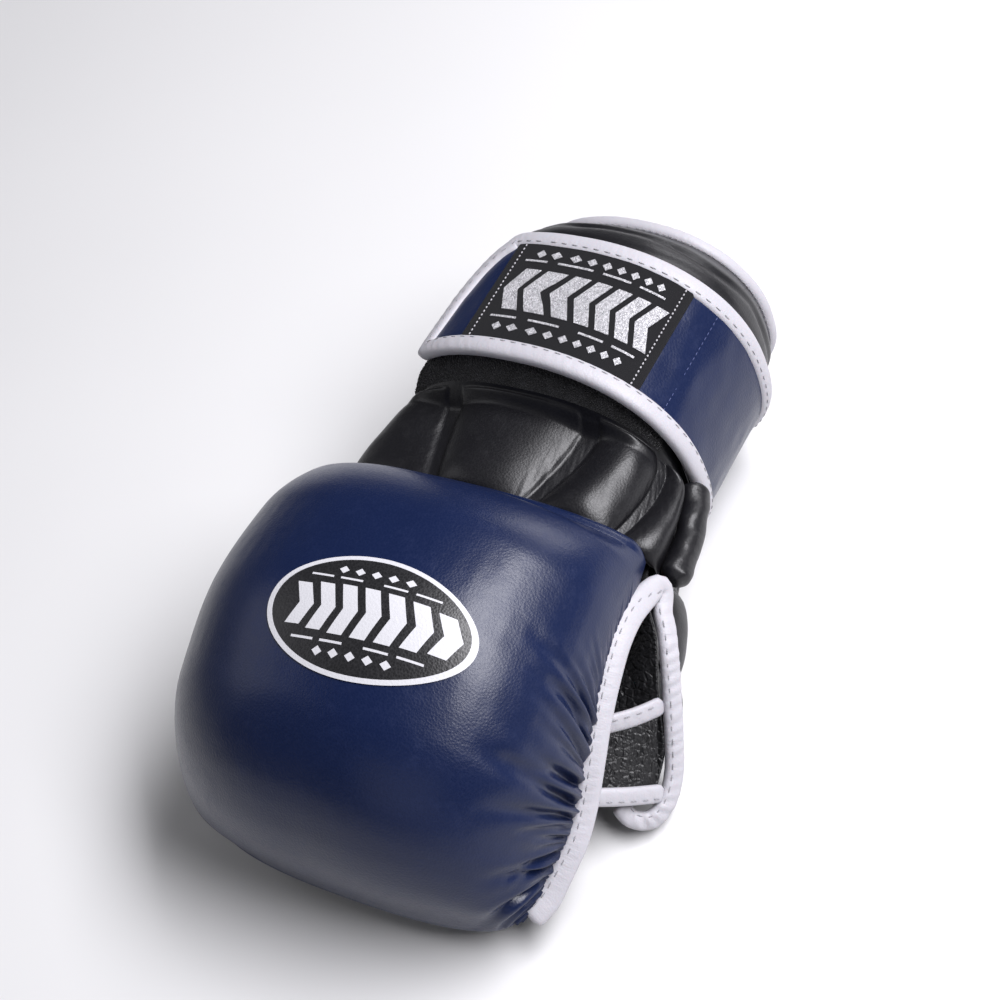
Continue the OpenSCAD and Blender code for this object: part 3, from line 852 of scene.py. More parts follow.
def cloth(name, colour, pitch, depth, sheen=0.3, across=1.0, rough=0.85):
    """A weave or knit that follows the piece's own UVs, pitch in millimetres."""
    f = Finish(name)
    at = f.place(scale=(1 / pitch, across / pitch, 1), follow=True)
    waves = {
        axis: f.node(
            "ShaderNodeTexWave",
            {"wave_type": "BANDS", "bands_direction": axis},
            {"Vector": at, "Scale": 0.3142, "Distortion": 0.4, "Detail": 1.0},
        )
        for axis in ("X", "Y")
    }
    lint = f.clouds(f.place(), 700, 3.0, 0.7)
    weave = waves["X"] * waves["Y"]
    return f.surface(
        Base_Color=f.blend(weave * 0.6 + lint * 0.4, [c * 0.6 for c in colour], colour),
        Roughness=rough + lint * 0.1,
        Sheen_Weight=sheen,
        Sheen_Roughness=0.5,
        Specular_IOR_Level=0.25,
        Normal=f.bump(weave + lint * 0.4, depth),
    )


def lining_cloth():
    return cloth("lining_cloth", [0.035, 0.035, 0.04], 1.0, 0.25)


def elastic_cloth():
    return cloth("elastic_cloth", [0.02, 0.02, 0.022], 1.6, 0.5, across=0.25)


def hook_tape():
    return cloth("hook_tape", [0.016, 0.016, 0.018], 1.3, 0.6, sheen=0.1, rough=0.7)


def label_cloth():
    return cloth("label_cloth", [0.009, 0.009, 0.011], 0.45, 0.12, sheen=0.03, rough=0.8)


def loop_pile():
    f = Finish("loop_pile")
    at = f.place()
    tufts = f.pebbles(at, 1300)
    fuzz = f.clouds(at, 2200, 4.0, 0.8)
    tread = f.clouds(at, 220, 3.0)
    return f.surface(
        Base_Color=f.blend(tufts * tread * 1.4, [0.003] * 3, [0.05, 0.05, 0.055]),
        Roughness=0.9 + fuzz * 0.1,
        Sheen_Weight=0.25,
        Sheen_Roughness=0.4,
        Specular_IOR_Level=0.2,
        Normal=f.bump(tufts * 0.9 + fuzz * 0.7 + tread, 0.7),
    )


def silver_thread():
    """Metal yarn: bright and dark flecks."""
    f = Finish("silver_thread")
    at = f.place()
    flecks = f.pebbles(at, 2100, "F1", "Color")
    grey = f.node("ShaderNodeRGBToBW", None, {0: flecks})
    gap = f.ramp(f.pebbles(at, 2100), (0.35, 1.0), (0.75, 0.0))
    return f.surface(
        Base_Color=f.blend(grey, [0.26, 0.26, 0.28], [0.82, 0.81, 0.84]),
        Metallic=0.15 + grey * 0.3,
        Roughness=0.28 + grey * 0.3,
        Normal=f.bump(gap + grey * 0.6, 0.25),
    )


def badge_film():
    """Printed film, almost smooth, with the hide's grain showing through."""
    f = Finish("badge_film")
    at = f.place()
    cells = f.pebbles(at, 1300)
    broad = f.clouds(at, 70, 3.0)
    return f.surface(
        Base_Color=f.blend(cells, [0.006, 0.006, 0.007], [0.018, 0.018, 0.02]),
        Roughness=0.30 + cells * 0.1 + broad * 0.08,
        Normal=f.bump(cells * 0.6 + broad * 0.8, 0.10),
    )


def print_white():
    f = Finish("print_white")
    at = f.place()
    cells = f.pebbles(at, 1300)
    worn = f.ramp(f.clouds(at, 500, 5.0, 0.8), (0.6, 0.0), (0.72, 1.0))
    return f.surface(
        Base_Color=f.blend(worn * 0.25, [0.58, 0.58, 0.61], [0.34, 0.34, 0.36]),
        Roughness=0.35 + cells * 0.1,
        Normal=f.bump(cells, 0.06),
    )


def pale_floor():
    f = Finish("pale_floor")
    dust = f.clouds(f.place(), 9, 3.0)
    return f.surface(Base_Color=f.blend(dust, [0.72] * 3, [0.74] * 3), Roughness=0.7 + dust * 0.1)


# each finish is made the first time that it is asked for
FINISHES = {
    make.__name__: functools.cache(make)
    for make in (
        navy_leather,
        black_leather,
        creased_leather,
        white_tape,
        white_thread,
        grey_thread,
        black_thread,
        navy_thread,
        lining_cloth,
        elastic_cloth,
        hook_tape,
        label_cloth,
        loop_pile,
        silver_thread,
        badge_film,
        print_white,
        pale_floor,
    )
}
SKINS = {}  # finished surfaces that later pieces are laid on


# ---- The hand ---------------------------------------------------------------


def back_of_hand(sizes):
    """Four padded channels sewn between flat lanes on the back of the hand."""

    def surface(u, v):
        y = mix(2.6, 42.5, u)
        k = min(3, int(v * 4))
        half = mix(*LANE_HALF, clamp((y - 4) / 32))
        low, high = lane(k, y) + half, lane(k + 1, y) - half
        angle = mix(lane(k, y), lane(k + 1, y), v * 4 - k)
        t = clamp((angle - low) / (high - low))
        crown = sind(180 * t**1.3) ** 0.65 if 0 < t < 1 else 0
        end = math.sqrt(max(0, 1 - abs((y - 19.8) / 17.6) ** 4))
        arc = math.radians(high - low) * HAND_R
        near = min(abs(t), abs(1 - t)) * arc
        seam = -0.6 * dip(near, 0.6) * (1 if y < 37.5 else 0) - 0.5 * dip(y - 37.6, 0.7)
        soft = 0.35 * waver(angle * 0.12, y * 0.09, 3.0) * crown * end
        pull = 0.22 * waver(angle * 0.7, y * 0.1, 8.0) * dip(near - 1.5, 2.5) * end
        return hand(y, angle, sizes.channel_rise / MM * crown * end + seam + soft + pull)

    def sewn(u, v):
        k = min(3, int(v * 4))
        return u < 0.04 or u > 0.8 or min(v * 4 - k, k + 1 - v * 4) < 0.1

    moved = filling(24, 96, surface, sewn, (0, 30, 42), cap=1.0)
    bm = lattice(96, 256, lambda u, v: surface(u, v) + moved(u, v), size=(40, 150))
    obj = piece(
        bm,
        "back_leather",
        "black_leather",
        "hand",
        ("back_cover", "back_foam_1", "back_foam_2", "back_foam_3", "back_foam_4"),
        thick=LEATHER_THICK,
    )
    lining = lattice(30, 60, lambda u, v: hand(mix(4, 41, u), mix(12, 168, v), -6.8), (38, 140))
    piece(lining, "hand_lining_cloth", "lining_cloth", "hand", ("hand_lining",),
          thick=CLOTH_THICK, rounds=1)


def side_panels():
    """Plain leather on the outer and thumb sides, and the padded roll."""

    def outer(u, v):
        y, angle = mix(1.5, 42.6, u), mix(165, 223, v)
        return hand(y, angle, -0.2 + 0.5 * waver(y * 0.07, angle * 0.06, 2) - 0.6 * dip(y - 36, 1))

    bm = lattice(48, 60, outer, (41, 55))
    piece(bm, "outer_side_leather", "black_leather", "hand", ("outer_side_panel",), thick=LEATHER_THICK)

    def inner(u, v):
        y, angle = mix(4.5, 42.6, u), mix(-62, 8, v)
        return hand(y, angle, -0.3 + 0.4 * waver(y * 0.09, angle * 0.08, 5))

    bm = lattice(48, 64, inner, (38, 60))
    piece(bm, "thumb_side_leather", "black_leather", "hand", ("thumb_side_panel",), thick=LEATHER_THICK)
    route = [hand(y, mix(7, 0, (y - 4) / 34), 4.9) for y in (2, 8, 16, 24, 32, 39.5)]
    points = smooth_route(route, 0.7)
    count = len(points)

    def roll(u, v):
        i = round(u * (count - 1))
        t = (points[min(count - 1, i + 1)] - points[max(0, i - 1)]).normalized()
        out = Vector((1, 0, 0.2))
        side = out.cross(t).normalized()
        up = t.cross(side)
        angle = 360 * v
        run = i * 0.7
        fold = waver(run * 0.16 + 0.8 * cosd(angle), sind(angle) * 0.8, 4.0)
        r = 4.9 + 0.7 * fold + 0.12 * waver(run * 0.5, cosd(angle), 1.0)
        r *= min(1, (i + 0.5) / 4, (count - i - 0.5) / 4) ** 0.5
        return points[i] + (side * cosd(angle) + up * sind(angle)) * r

    bm = lattice(count - 1, 40, roll, (count * 0.7, 28), wrap=True)
    bmesh.ops.holes_fill(bm, edges=[e for e in bm.edges if e.is_boundary], sides=0)
    obj = piece(bm, "thumb_side_roll_leather", "black_leather", "hand", ("thumb_side_roll",),
                rounds=1)


def palm_heel():
    """The padded heel of the palm."""

    def surface(u, v):
        y, angle = mix(7, 42.6, u), mix(222, 299, v)
        puff = 1.5 * (sind(180 * clamp(u * 1.05)) ** 0.5) * (sind(180 * v) ** 0.5)
        crease = 0.5 * waver(y * 0.12, angle * 0.07, 6)
        return hand(y, angle, -1.1 + puff * 0.6 + crease * 0.4)

    bm = lattice(44, 90, surface, (36, 90))
    obj = piece(bm, "palm_heel_leather", "black_leather", "hand", ("palm_panel", "palm_foam"),
                thick=LEATHER_THICK)


def cuff():
    """The padded cuff, its lining, edge tape, elastic and pile panel."""

    def surface(u, v):
        y, angle = mix(42.9, 118.6, u), mix(-54.5, 234.5, v)
        wobble = 1.2 * waver(angle * 0.03, 1.0)
        puff = 1.5 * sind(180 * clamp((y - 94) / 24)) ** 0.7 if y > 94 else 0
        crease = -1.4 * dip(y - 106.5 - 2 * wobble, 1.6) * clamp(0.8 + waver(angle * 0.05, 7))
        crease -= 0.3 * dip(y - 99 + wobble, 1.3)
        return hand(y, angle, puff + crease + 0.3 * waver(y * 0.1, angle * 0.08, 9))

    bm = lattice(96, 190, surface, (76, 240))
    obj = piece(bm, "cuff_leather", "black_leather", "hand", ("cuff_shell", "cuff_foam"),
                thick=LEATHER_THICK)

    def lining(u, v):
        y = mix(43.5, 117.5, u)
        return hand(y, 360 * v, -7.2 + 0.4 * waver(y * 0.05, cosd(360 * v), sind(360 * v)))

    bm = lattice(50, 120, lining, (74, 270), wrap=True)
    piece(bm, "cuff_lining_cloth", "lining_cloth", "hand", ("cuff_lining",), thick=CLOTH_THICK)

    def elastic(u, v):
        y, angle = mix(42.9, 118, u), mix(233.5, 306.5, v)
        rib = 0.35 * math.cos(v * 2 * math.pi * 14)
        return hand(y, angle, -0.9 + rib)

    bm = lattice(50, 140, elastic, (75, 70))
    piece(bm, "wrist_elastic_cloth", "elastic_cloth", "hand", ("wrist_elastic",), thick=CLOTH_THICK)

    def facing(point, t):
        return (0, 1, 0)

    ring = []
    for i in range(61):
        angle = 6 * i
        ring.append(hand(118.4, angle, -1.6) + Vector((0, 0.9 + 0.35 * waver(angle * 0.05, 3), 0)))
    bm = tape(ring, facing, 8.4, 5.2, pucker=0.5, closed=True, seed=2.0, pitch=1.2)
    for i in range(0, 120):
        angle = 3 * i
        at = hand(116.9, angle, 1.05)
        stitch(bm, at, hand(116.9, angle + 1, 1.05) - at, hand(117, angle, 2) - hand(117, angle), 2.0)
    piece(bm, "cuff_edge_tape", SEWN_TAPE, "hand", ("cuff_edge_binding",))

    def pile(u, v):
        y, angle = mix(38.2, 88, u), mix(24, 158, v)
        fuzz = 0.6 * noise.noise(Vector((y * 1.9, angle * 1.7, 0)))
        fuzz += 0.5 * noise.noise(Vector((y * 4.1, angle * 3.7, 5)))
        edge = min(u, 1 - u) * 50
        return hand(y, angle, 0.15 + 0.9 * ease(edge / 1.4) + fuzz * ease(edge / 0.8))

    bm = lattice(150, 340, pile, (50, 130))
    piece(bm, "pile_cloth", "loop_pile", "hand", ("pile_panel",))


def rest_patch():
    """The sewn patch under the wrist."""
    bm = bmesh.new()
    bmesh.ops.create_cube(bm, size=1.0, matrix=Matrix.Diagonal((36, 34, 1.5, 1)))
    bmesh.ops.bevel(
        bm,
        geom=[e for e in bm.edges if abs(e.verts[0].co.z - e.verts[1].co.z) > 1],
        offset=3.5, segments=6, affect="EDGES", profile=0.5, material=-1,
    )
    bmesh.ops.bevel(
        bm,
        geom=[e for e in bm.edges if abs(e.verts[0].co.z - e.verts[1].co.z) < 0.01],
        offset=0.5, segments=3, affect="EDGES", profile=0.5, material=-1,
    )
    for vert in bm.verts:
        vert.co = place(vert.co + Vector((4, 66, 0.75)))
    for x in (-15.6, 15.6):
        for i in range(10):
            stitch(bm, Vector((4 + x, 66 - 13.5 + 3 * i, 0.02)), Vector((0, 1, 0)),
                   Vector((0, 0, -1)), 1.9)
    for y in (-14.6, 14.6):
        for i in range(11):
            stitch(bm, Vector((4 - 15 + 3 * i, 66 + y, 0.02)), Vector((1, 0, 0)),
                   Vector((0, 0, -1)), 1.9)
    piece(bm, "rest_patch_leather", ("black_leather", "black_thread"), "hand", ("strap_patch",),
          inside=(4, 66, 0.7))


# ---- The strap --------------------------------------------------------------


def strap_leather(angle0, angle1, depth, steps_a, steps_y, wave=0.0):
    """The strap's face or back between its tapes."""
    inset = 3.4

    def surface(u, v):
        angle = mix(angle0, angle1, u)
        low = strap_lo(angle) + inset
        high = min(strap_hi(angle) - inset, strap_hi(angle + 4.2) - inset / 2)
        y = mix(low, high, v)
        sway = wave * (waver(angle * 0.05, y * 0.05, 3) + 0.5 * waver(angle * 0.16, y * 0.1, 9))
        return strap(y, angle, depth + sway)

    run = math.radians(angle1 - angle0) * HAND_R
    return lattice(steps_a, steps_y, surface, (run, 46))


def wrist_strap():
    """The strap's leather, linings and hook tape."""
    peel, lift = strap_bend(PEEL, STRAP_SEWN), strap_bend(LIFT, LABEL_END)
    bm = strap_leather(STRAP_START, STRAP_SPLIT, 0, 260, 44, wave=0.35)
    piece(bm, "strap_leather", "navy_leather", peel, ("strap_anchor", "strap_flap"),
          inside=STRAP_CENTRE, thick=2.0)
    row = []
    for i in range(19):
        at = strap(STRAP_Y0 + 6.4 + i * 2.2, 32.5, 0.1)
        up = strap(60, 32.5, 1) - strap(60, 32.5)
        row.append((at, Vector((0.05 * (-1) ** i, 1, 0)), up, 1.4, 0.34))
    sewing("strap_sewing", "navy_thread", peel, row, STRAP_CENTRE)
    bm = strap_leather(STRAP_SPLIT - 0.5, STRAP_TIP - 2.2, 0, 64, 44, wave=0.3)
    piece(bm, "strap_tip_leather", "navy_leather", lift, ("strap_tip",), inside=STRAP_CENTRE,
          thick=2.0)
    bm = strap_leather(STRAP_SEWN + 1, STRAP_SPLIT, -2.3, 90, 30)
    piece(bm, "strap_lining", "hook_tape", peel, ("strap_flap_lining",), inside=STRAP_CENTRE,
          thick=CLOTH_THICK)
    bm = strap_leather(STRAP_SPLIT, STRAP_TIP - 4.5, -2.3, 40, 30)
    piece(bm, "strap_hook_tape", "hook_tape", lift, ("strap_tip_hook",), inside=STRAP_CENTRE,
          thick=CLOTH_THICK)


def strap_tapes():
    """The white tape round the strap's edges."""
    peel, lift = strap_bend(PEEL, STRAP_SEWN), strap_bend(LIFT, LABEL_END)
    half, deep = 3.1, -0.9

    def away(point, t):
        return (point.x / 56**2, 0, (point.z - STRAP_MID) / 47**2)

    for name, edge, row, seed in (
        ("strap_front_tape", 0, -1, 1.0),
        ("strap_rear_tape", 1, 1, 6.0),
    ):
        steps = [mix(STRAP_START + 1, STRAP_SPLIT, i / 60) for i in range(61)]
        y_of = (lambda a: strap_lo(a) + half) if edge == 0 else (lambda a: strap_hi(a) - half)
        bm = tape([strap(y_of(a), a, deep) for a in steps], away, TAPE_WIDTH, TAPE_HEIGHT, row=row * 0.53,
                  pucker=0.16, seed=seed, ends=False)
        stands = ("strap_anchor_binding", "strap_flap_binding") if edge == 0 else ()
        piece(bm, name, SEWN_TAPE, peel, stands, inside=STRAP_CENTRE)
    low = [mix(STRAP_SPLIT, STRAP_TIP - 2.6, i / 12) for i in range(13)]
    high = [mix(STRAP_TIP - 1.6, STRAP_SPLIT, (i / 16) ** 1.35) for i in range(17)]
    route = [strap(strap_lo(a) + half, a, deep) for a in low]
    route.append(strap(STRAP_Y0 + 5.5, STRAP_TIP - 1.5, deep))
    for a in high:
        y = max(strap_hi(a) - half, STRAP_Y0 + 10)
        route.append(strap(y, a - (2.0 if a > STRAP_CORNER + 6 else 0), deep))
    bm = tape(route, away, TAPE_WIDTH, TAPE_HEIGHT, row=-0.53, pucker=0.22, seed=3.3, ends=False)
    piece(bm, "strap_tip_tape", SEWN_TAPE, lift, ("strap_tip_binding",),
          inside=STRAP_CENTRE)


LABEL_A0, LABEL_A1 = 45.0, 110.5
LABEL_MID_A = (LABEL_A0 + LABEL_A1) / 2
LABEL_DEG = 0.888  # millimetres round the strap for each degree


def on_label(x, y, height):
    """x runs round the strap from the label's middle and y towards the cuff."""
    angle = LABEL_MID_A + x / LABEL_DEG
    return place(strap(66.1 + y, angle, 0.75 + height))


def strap_label():
    """The woven label and its pattern of silver bars."""

    def surface(u, v):
        angle = mix(LABEL_A0, LABEL_A1, u)
        y = mix(STRAP_Y0 + 5.2, STRAP_Y1 - 5.2, v)
        edge = min(u, 1 - u) * 58
        return strap(y, angle, 0.15 + 0.6 * ease(edge / 0.9) + 0.12 * waver(angle * 0.1, y * 0.1))

    bm = lattice(120, 60, surface, (58, 43))
    piece(bm, "label_cloth", "label_cloth", "strap_flap", ("strap_label",), inside=STRAP_CENTRE,
          thick=0.5)
    row = []
    for angle in (LABEL_A0 + 4.0, LABEL_A1 - 4.4):
        up = strap(60, angle, 1) - strap(60, angle)
        for i in range(25):
            at = strap(STRAP_Y0 + 6.6 + i * 1.68, angle, 0.85)
            row.append((at, Vector((0, 1, 0)), up, 0.95, 0.62))
    sewing("label_sewing", "white_thread", "strap_flap", row, STRAP_CENTRE)
    shapes = []
    for i in range(7):  # a row of tall chevrons across the middle
        x, w, lean = -24.5 + i * 6.6, 4.6, 3.6
        shapes.append([(x, -8.4), (x + w, -8.4), (x + w + lean, 0.6), (x + lean, 0.6)])
        shapes.append([(x + lean, 0.6), (x + w + lean, 0.6), (x + w, 9.6), (x, 9.6)])
    for y, spans in ((13.0, ((-21, -12), (-9, 0), (3, 12), (15, 22))),
                     (-12.0, ((-22, -14), (-11, -3), (3, 11), (14, 22)))):
        for x0, x1 in spans:
            shapes.append([(x0, y), (x1, y), (x1, y + 0.8), (x0, y + 0.8)])
    for i in range(9):  # diamonds along both sides
        for y in (16.6, -15.8):
            x = -18 + i * 4.5
            shapes.append([(x - 1.5, y), (x, y - 1.7), (x + 1.5, y), (x, y + 1.7)])
    bm = applique(shapes, on_label, pitch=2.4, thick=0.22)
    piece(bm, "label_pattern", "silver_thread", "strap_flap", inside=STRAP_CENTRE, smooth=False)


# ---- The knuckle pad --------------------------------------------------------

LIP_R = 4.0
PAD_RUN, PAD_REACH = 190, 55  # the pad along its edge, and from the edge to its crown
GATHER_CAP = 3.2  # no gather is deeper
# how far back a gather runs for each millimetre in from the edge, along the pad
GATHER_LEAN = Table([[0.1, 1.0], [0.3, 0.6], [0.45, 0.1], [0.6, -0.5], [0.8, -1.0], [1.0, -1.3]])


def knuckle_pad():
    """The thick curved pad over the knuckles and fingers, and its lining."""

    def shape(s, q):
        inside = clamp(s)
        at = pad(inside, q)
        depth = (roof(inside, q) - at).length
        r = min(LIP_R, 0.42 * depth)
        over = (s - 1) / 0.05 if s > 1 else (-s / 0.04 if s < 0 else 0)
        if over <= 0:
            return at
        inward = (roof(inside, q) - at).normalized()
        step = 0.01 if s < 0 else -0.01
        away = (at - pad(inside + step, q)).normalized()
        away = (away - away.dot(inward) * inward).normalized()
        turn = min(over, 1.0) * 165
        return at + away * (r * sind(turn)) + inward * (r * (1 - cosd(turn)))

    def gathers(count, seed, strength):
        """Folds that run in from a sewn edge: place, lean, length, width, depth and curve."""
        chance = random.Random(seed)
        made = []
        for i in range(count):
            s = mix(0.15, 0.995, (i + chance.random()) / count)
            strong = strength * ease((s - 0.3) / 0.16)
            big = chance.random() ** 1.3
            lean = GATHER_LEAN(s)[0] + chance.uniform(-0.22, 0.22)
            reach = chance.uniform(7, 14) + 34 * strong * big
            depth = chance.uniform(0.35, 0.7) * (0.5 + 0.5 * strength) + 3.0 * strong * big
            made.append((PAD_RUN * s, lean, reach, 0.65 + 0.65 * strong * big, depth,
                         chance.uniform(-0.006, 0.006)))
        return made

    sides = {1: gathers(78, 5, 1.0), -1: gathers(40, 9, 0.45)}  # more and deeper by the thumb

    def fold(s, q, side):
        """How far the gathers push a point of the pad in or out."""
        h = max(0.0, 1 - abs(q) ** PAD_FULL) ** (1 / PAD_FULL)
        run, away = PAD_RUN * s, PAD_REACH * h
        total = 0.0
        for at, lean, reach, width, depth, curve in sides[side]:
            if away >= reach:
                continue
            off = (run - at + lean * away - curve * away**2) / (width * (1 + away / 16))
            if abs(off) < 4:
                level = depth * ease((away - 2.2) / 4) * (1 - away / reach)
                total += level * (0.42 * dip(abs(off) - 1.7, 1.1) - dip(off, 0.8))
        return GATHER_CAP * math.tanh(total / GATHER_CAP)

    def surface(u, v):
        s = mix(-0.04, 1.05, u)
        q = pad_q(v)
        at = shape(s, q)
        if 0 <= s <= 1:
            step = 0.004
            a = shape(min(1, s + step), q) - shape(max(0, s - step), q)
            q1, q0 = min(0.9999, q + step), max(-0.9999, q - step)
            b = pad(s, q1) - pad(s, q0)
            out = b.cross(a)
            out = out.normalized() if out.length > 1e-9 else Vector((0, 0, 1))
            if out.dot(at - Vector(PAD_CENTRE)) < 0:
                out = -out
            broad = 0.4 * waver(at.x * 0.03, at.y * 0.03, at.z * 0.03)
            at = at + out * (fold(s, q, 1 if q > 0 else -1) + broad * ease((1 - abs(q)) / 0.1))
        return at

    def plain(u, v):
        return shape(mix(-0.04, 1.05, u), pad_q(v))

    def sewn(u, v):
        return min(u, 1 - u) < 0.05 or min(v, 1 - v) < 0.02

    moved = filling(56, 60, plain, sewn, PAD_CENTRE, cap=1.4)
    bm = lattice(318, 312, lambda u, v: surface(u, v) + moved(u, v), (230, 250))
    facing_out(bm, PAD_CENTRE)
    SKINS["pad"] = BVHTree.FromBMesh(bm)
    obj = piece(bm, "knuckle_pad_leather", "navy_leather", "fingers",
                ("knuckle_cover", "knuckle_foam_outer", "knuckle_foam_inner"),
                inside=PAD_CENTRE)

    def under(u, v):
        q = mix(-0.985, 0.985, v)
        at = roof(mix(0.0, 1.0, u), q)
        quilt = 0.5 * abs(math.sin(u * math.pi * 7)) * abs(math.sin(v * math.pi * 5))
        return at - Vector((0, 0, quilt))

    bm = lattice(90, 90, under, (120, 115))
    piece(bm, "pad_lining_cloth", "lining_cloth", "fingers", ("knuckle_lining",),
          inside=(0, -50, 300), thick=CLOTH_THICK)

    def gusset(u, v):
        angle = mix(14, 166, v)
        front = Vector((-60 * spow(cosd(180 - angle), 0.87) * 0.95, 1.5,
                        mix(56, 70, spow(sind(angle), 0.8))))
        at = front.lerp(hand(4.2, angle, -1.4), u)
        return at - Vector((0, 0, 1.2 * sind(180 * u) + 0.3 * waver(angle * 0.3, u)))

    bm = lattice(10, 120, gusset, (6, 130))
    piece(bm, "knuckle_gusset_leather", "creased_leather", ("hand", "fingers", (0, 5, 60), (0, -2, 60)),
          ("knuckle_gusset",), thick=CLOTH_THICK)


def on_badge(x, y, height):
    """A point of the badge's face laid on the pad, x across it and y back towards the wrist."""
    tilt = 6
    across = 11 + x * cosd(tilt) - y * sind(tilt)
    back = y * cosd(tilt) + x * sind(tilt)
    s, q = 0.5 - back / 192, across / 64
    at = pad(s, q)
    out = (pad(s + 0.02, q) - pad(s - 0.02, q)).cross(pad(s, q + 0.02) - pad(s, q - 0.02))
    out = out.normalized()
    out = out if out.z > 0 else -out
    hit, _, _, _ = SKINS["pad"].ray_cast(place(at + out * 12), -out)
    if hit is None:
        hit = place(at)
    return hit + out * (height + 0.25) * MM


def badge(sizes):
    """The oval printed badge: a rim, chevrons, bars and diamonds."""
    length, width = sizes.badge_length / MM / 2, sizes.badge_width / MM / 2

    def ring(r, n=72):
        return [(r * length * cosd(360 * i / n), r * width * sind(360 * i / n)) for i in range(n)]

    bm = applique([ring(1.0)], on_badge, pitch=1.6, thick=0.1)
    piece(bm, "badge_base", "badge_film", "fingers", ("badge",), inside=PAD_CENTRE)
    n = 72
    rim = []
    for i in range(n):
        a0, a1 = 360 * i / n, 360 * (i + 1) / n
        inner, outer = (length - 1.7, width - 1.7), (length, width)
        rim.append([
            (outer[0] * cosd(a0), outer[1] * sind(a0)), (outer[0] * cosd(a1), outer[1] * sind(a1)),
            (inner[0] * cosd(a1), inner[1] * sind(a1)), (inner[0] * cosd(a0), inner[1] * sind(a0)),
        ])

    def inside(x, y, slack=0.9):
        return (x / length) ** 2 + (y / width) ** 2 < slack**2

    shapes = list(rim)
    for i in range(7):  # a row of leaning chevrons, tall in the middle
        x = -24.5 + i * 7.6
        tall = 9.0 * math.sqrt(max(0.1, 1 - (abs(x + 2) / 40) ** 2))
        w, lean = 4.9, 3.0
        shapes.append([(x, -tall), (x + w, -tall), (x + w + lean, 0), (x + lean, 0)])
        shapes.append([(x + lean, 0), (x + w + lean, 0), (x + w, tall), (x, tall)])
    for y in (11.0, -11.8):
        for x0, x1 in ((-21, -13.5), (-11, -3.5), (3.5, 11), (13.5, 21)):
            shapes.append([(x0, y), (x1, y), (x1, y + 0.8), (x0, y + 0.8)])
    for i in range(5):  # a row of diamonds above and below
        x = -11 + i * 5.5
        for y in (14.9, -14.9):
            if inside(x, y + (1.6 if y > 0 else -1.6)):
                shapes.append([(x - 1.7, y), (x, y - 1.6), (x + 1.7, y), (x, y + 1.6)])
    bm = applique(shapes, on_badge, pitch=2.0, thick=0.22)
    bmesh.ops.remove_doubles(bm, verts=bm.verts, dist=1e-6)
    piece(bm, "badge_print", "print_white", "fingers", inside=PAD_CENTRE, smooth=False)


# ---- Tapes, webs and palm ---------------------------------------------------


def edge_tapes():
    """The white tapes from the pad's edges round to the palm's."""
    fronts = [1.0, 0.95, 0.9, 0.84, 0.76, 0.68, 0.58, 0.48, 0.38, 0.28, 0.2, 0.13]
    thumb_side = [pad_edge(s, 1) for s in fronts] + THUMB_ROUTE

    def face(side):
        def out(point, t):
            palm_side = ease((t - 0.56) / 0.08)
            return (side * mix(0.55, 0.85, palm_side), mix(-0.35, -0.3, palm_side),
                    mix(0.75, 0.45, palm_side))

        return out

    def across(t):  # wide along the pad and narrow round the palm
        return mix(mix(11.0, 8.2, ease(t / 0.14)), 6.0, ease((t - 0.52) / 0.08))

    def line(t):  # mid tape along the pad, then at the opening's edge
        return mix(0.2, -0.62, ease((t - 0.5) / 0.06))

    def creases(t):  # few along the pad, many where the tape turns round the palm
        return 0.25 + 1.1 * ease((t - 0.56) / 0.08)

    bm = tape(thumb_side, face(1), across, TAPE_HEIGHT, row=line, pucker=creases, seed=4.0)
    piece(bm, "thumb_side_tape", SEWN_TAPE, FOLD,
          ("pad_edge_binding", "palm_edge_binding"), inside=(60, -40, 30))
    outer = [pad_edge(s, -1) for s in fronts] + OUTER_ROUTE
    bm = tape(outer, face(-1), TAPE_WIDTH, TAPE_HEIGHT, row=-0.58, pucker=0.3, seed=7.0)
    piece(bm, "outer_side_tape", SEWN_TAPE, FOLD, inside=(-60, -40, 30))


def finger_webs():
    """The creased leather strips beside the fingers, and their tapes."""
    for name, side, stands in (("index_web_leather", 1, "index_web"),
                               ("outer_web_leather", -1, "outer_web")):
        far = 1.1 if side > 0 else 0.98

        def surface(u, v):
            at = web(u, v * far, side)
            crease = waver(v * 17 + 0.7 * waver(u * 3, v * 4), u * 1.1, side)
            fine = waver(v * 42, u * 2.5, 4 + side)
            edge = ease(min(u, 1 - u) / 0.12)
            return at + Vector((side * (0.6 + (1.0 * crease + 0.5 * fine) * edge), 0, 0))

        bm = lattice(52, 110, surface, (22, 26))
        piece(bm, name, "creased_leather", FOLD, (stands,), inside=PAD_CENTRE, thick=1.1)
    for i, u in enumerate((-0.13, 1.13)):
        route = [web(u, v, 1) + Vector((1.1, 0, 0)) for v in (0.02, 0.25, 0.5, 0.75, 1.0, 1.16)]
        bm = tape(route, (1, -0.2, 0.3), 6.0, 2.8, row=0.43 if i == 0 else -0.43, pucker=0.2,
                  seed=9.0 + i)
        stands = ("index_web_binding",) if i == 0 else ()
        piece(bm, f"index_web_tape_{i + 1}", SEWN_TAPE, FOLD, stands,
              inside=(60, -50, 25))


def palm_front():
    """The soft leather of the palm and over the thumb."""

    def surface(u, v):
        y, t = mix(6, -55, u), 2 * v
        wave = 0.5 * waver(y * 0.12, t * 6, 2) + 0.35 * waver(y * 0.3, t * 15, 7)
        return palm(y, t, 0.6 + wave * ease(min(v, 1 - v) / 0.03))

    bm = lattice(90, 150, surface, (61, 140))
    piece(bm, "palm_front_leather", "creased_leather", FOLD, ("palm_front",), inside=(0, -25, 500),
          thick=LEATHER_THICK)


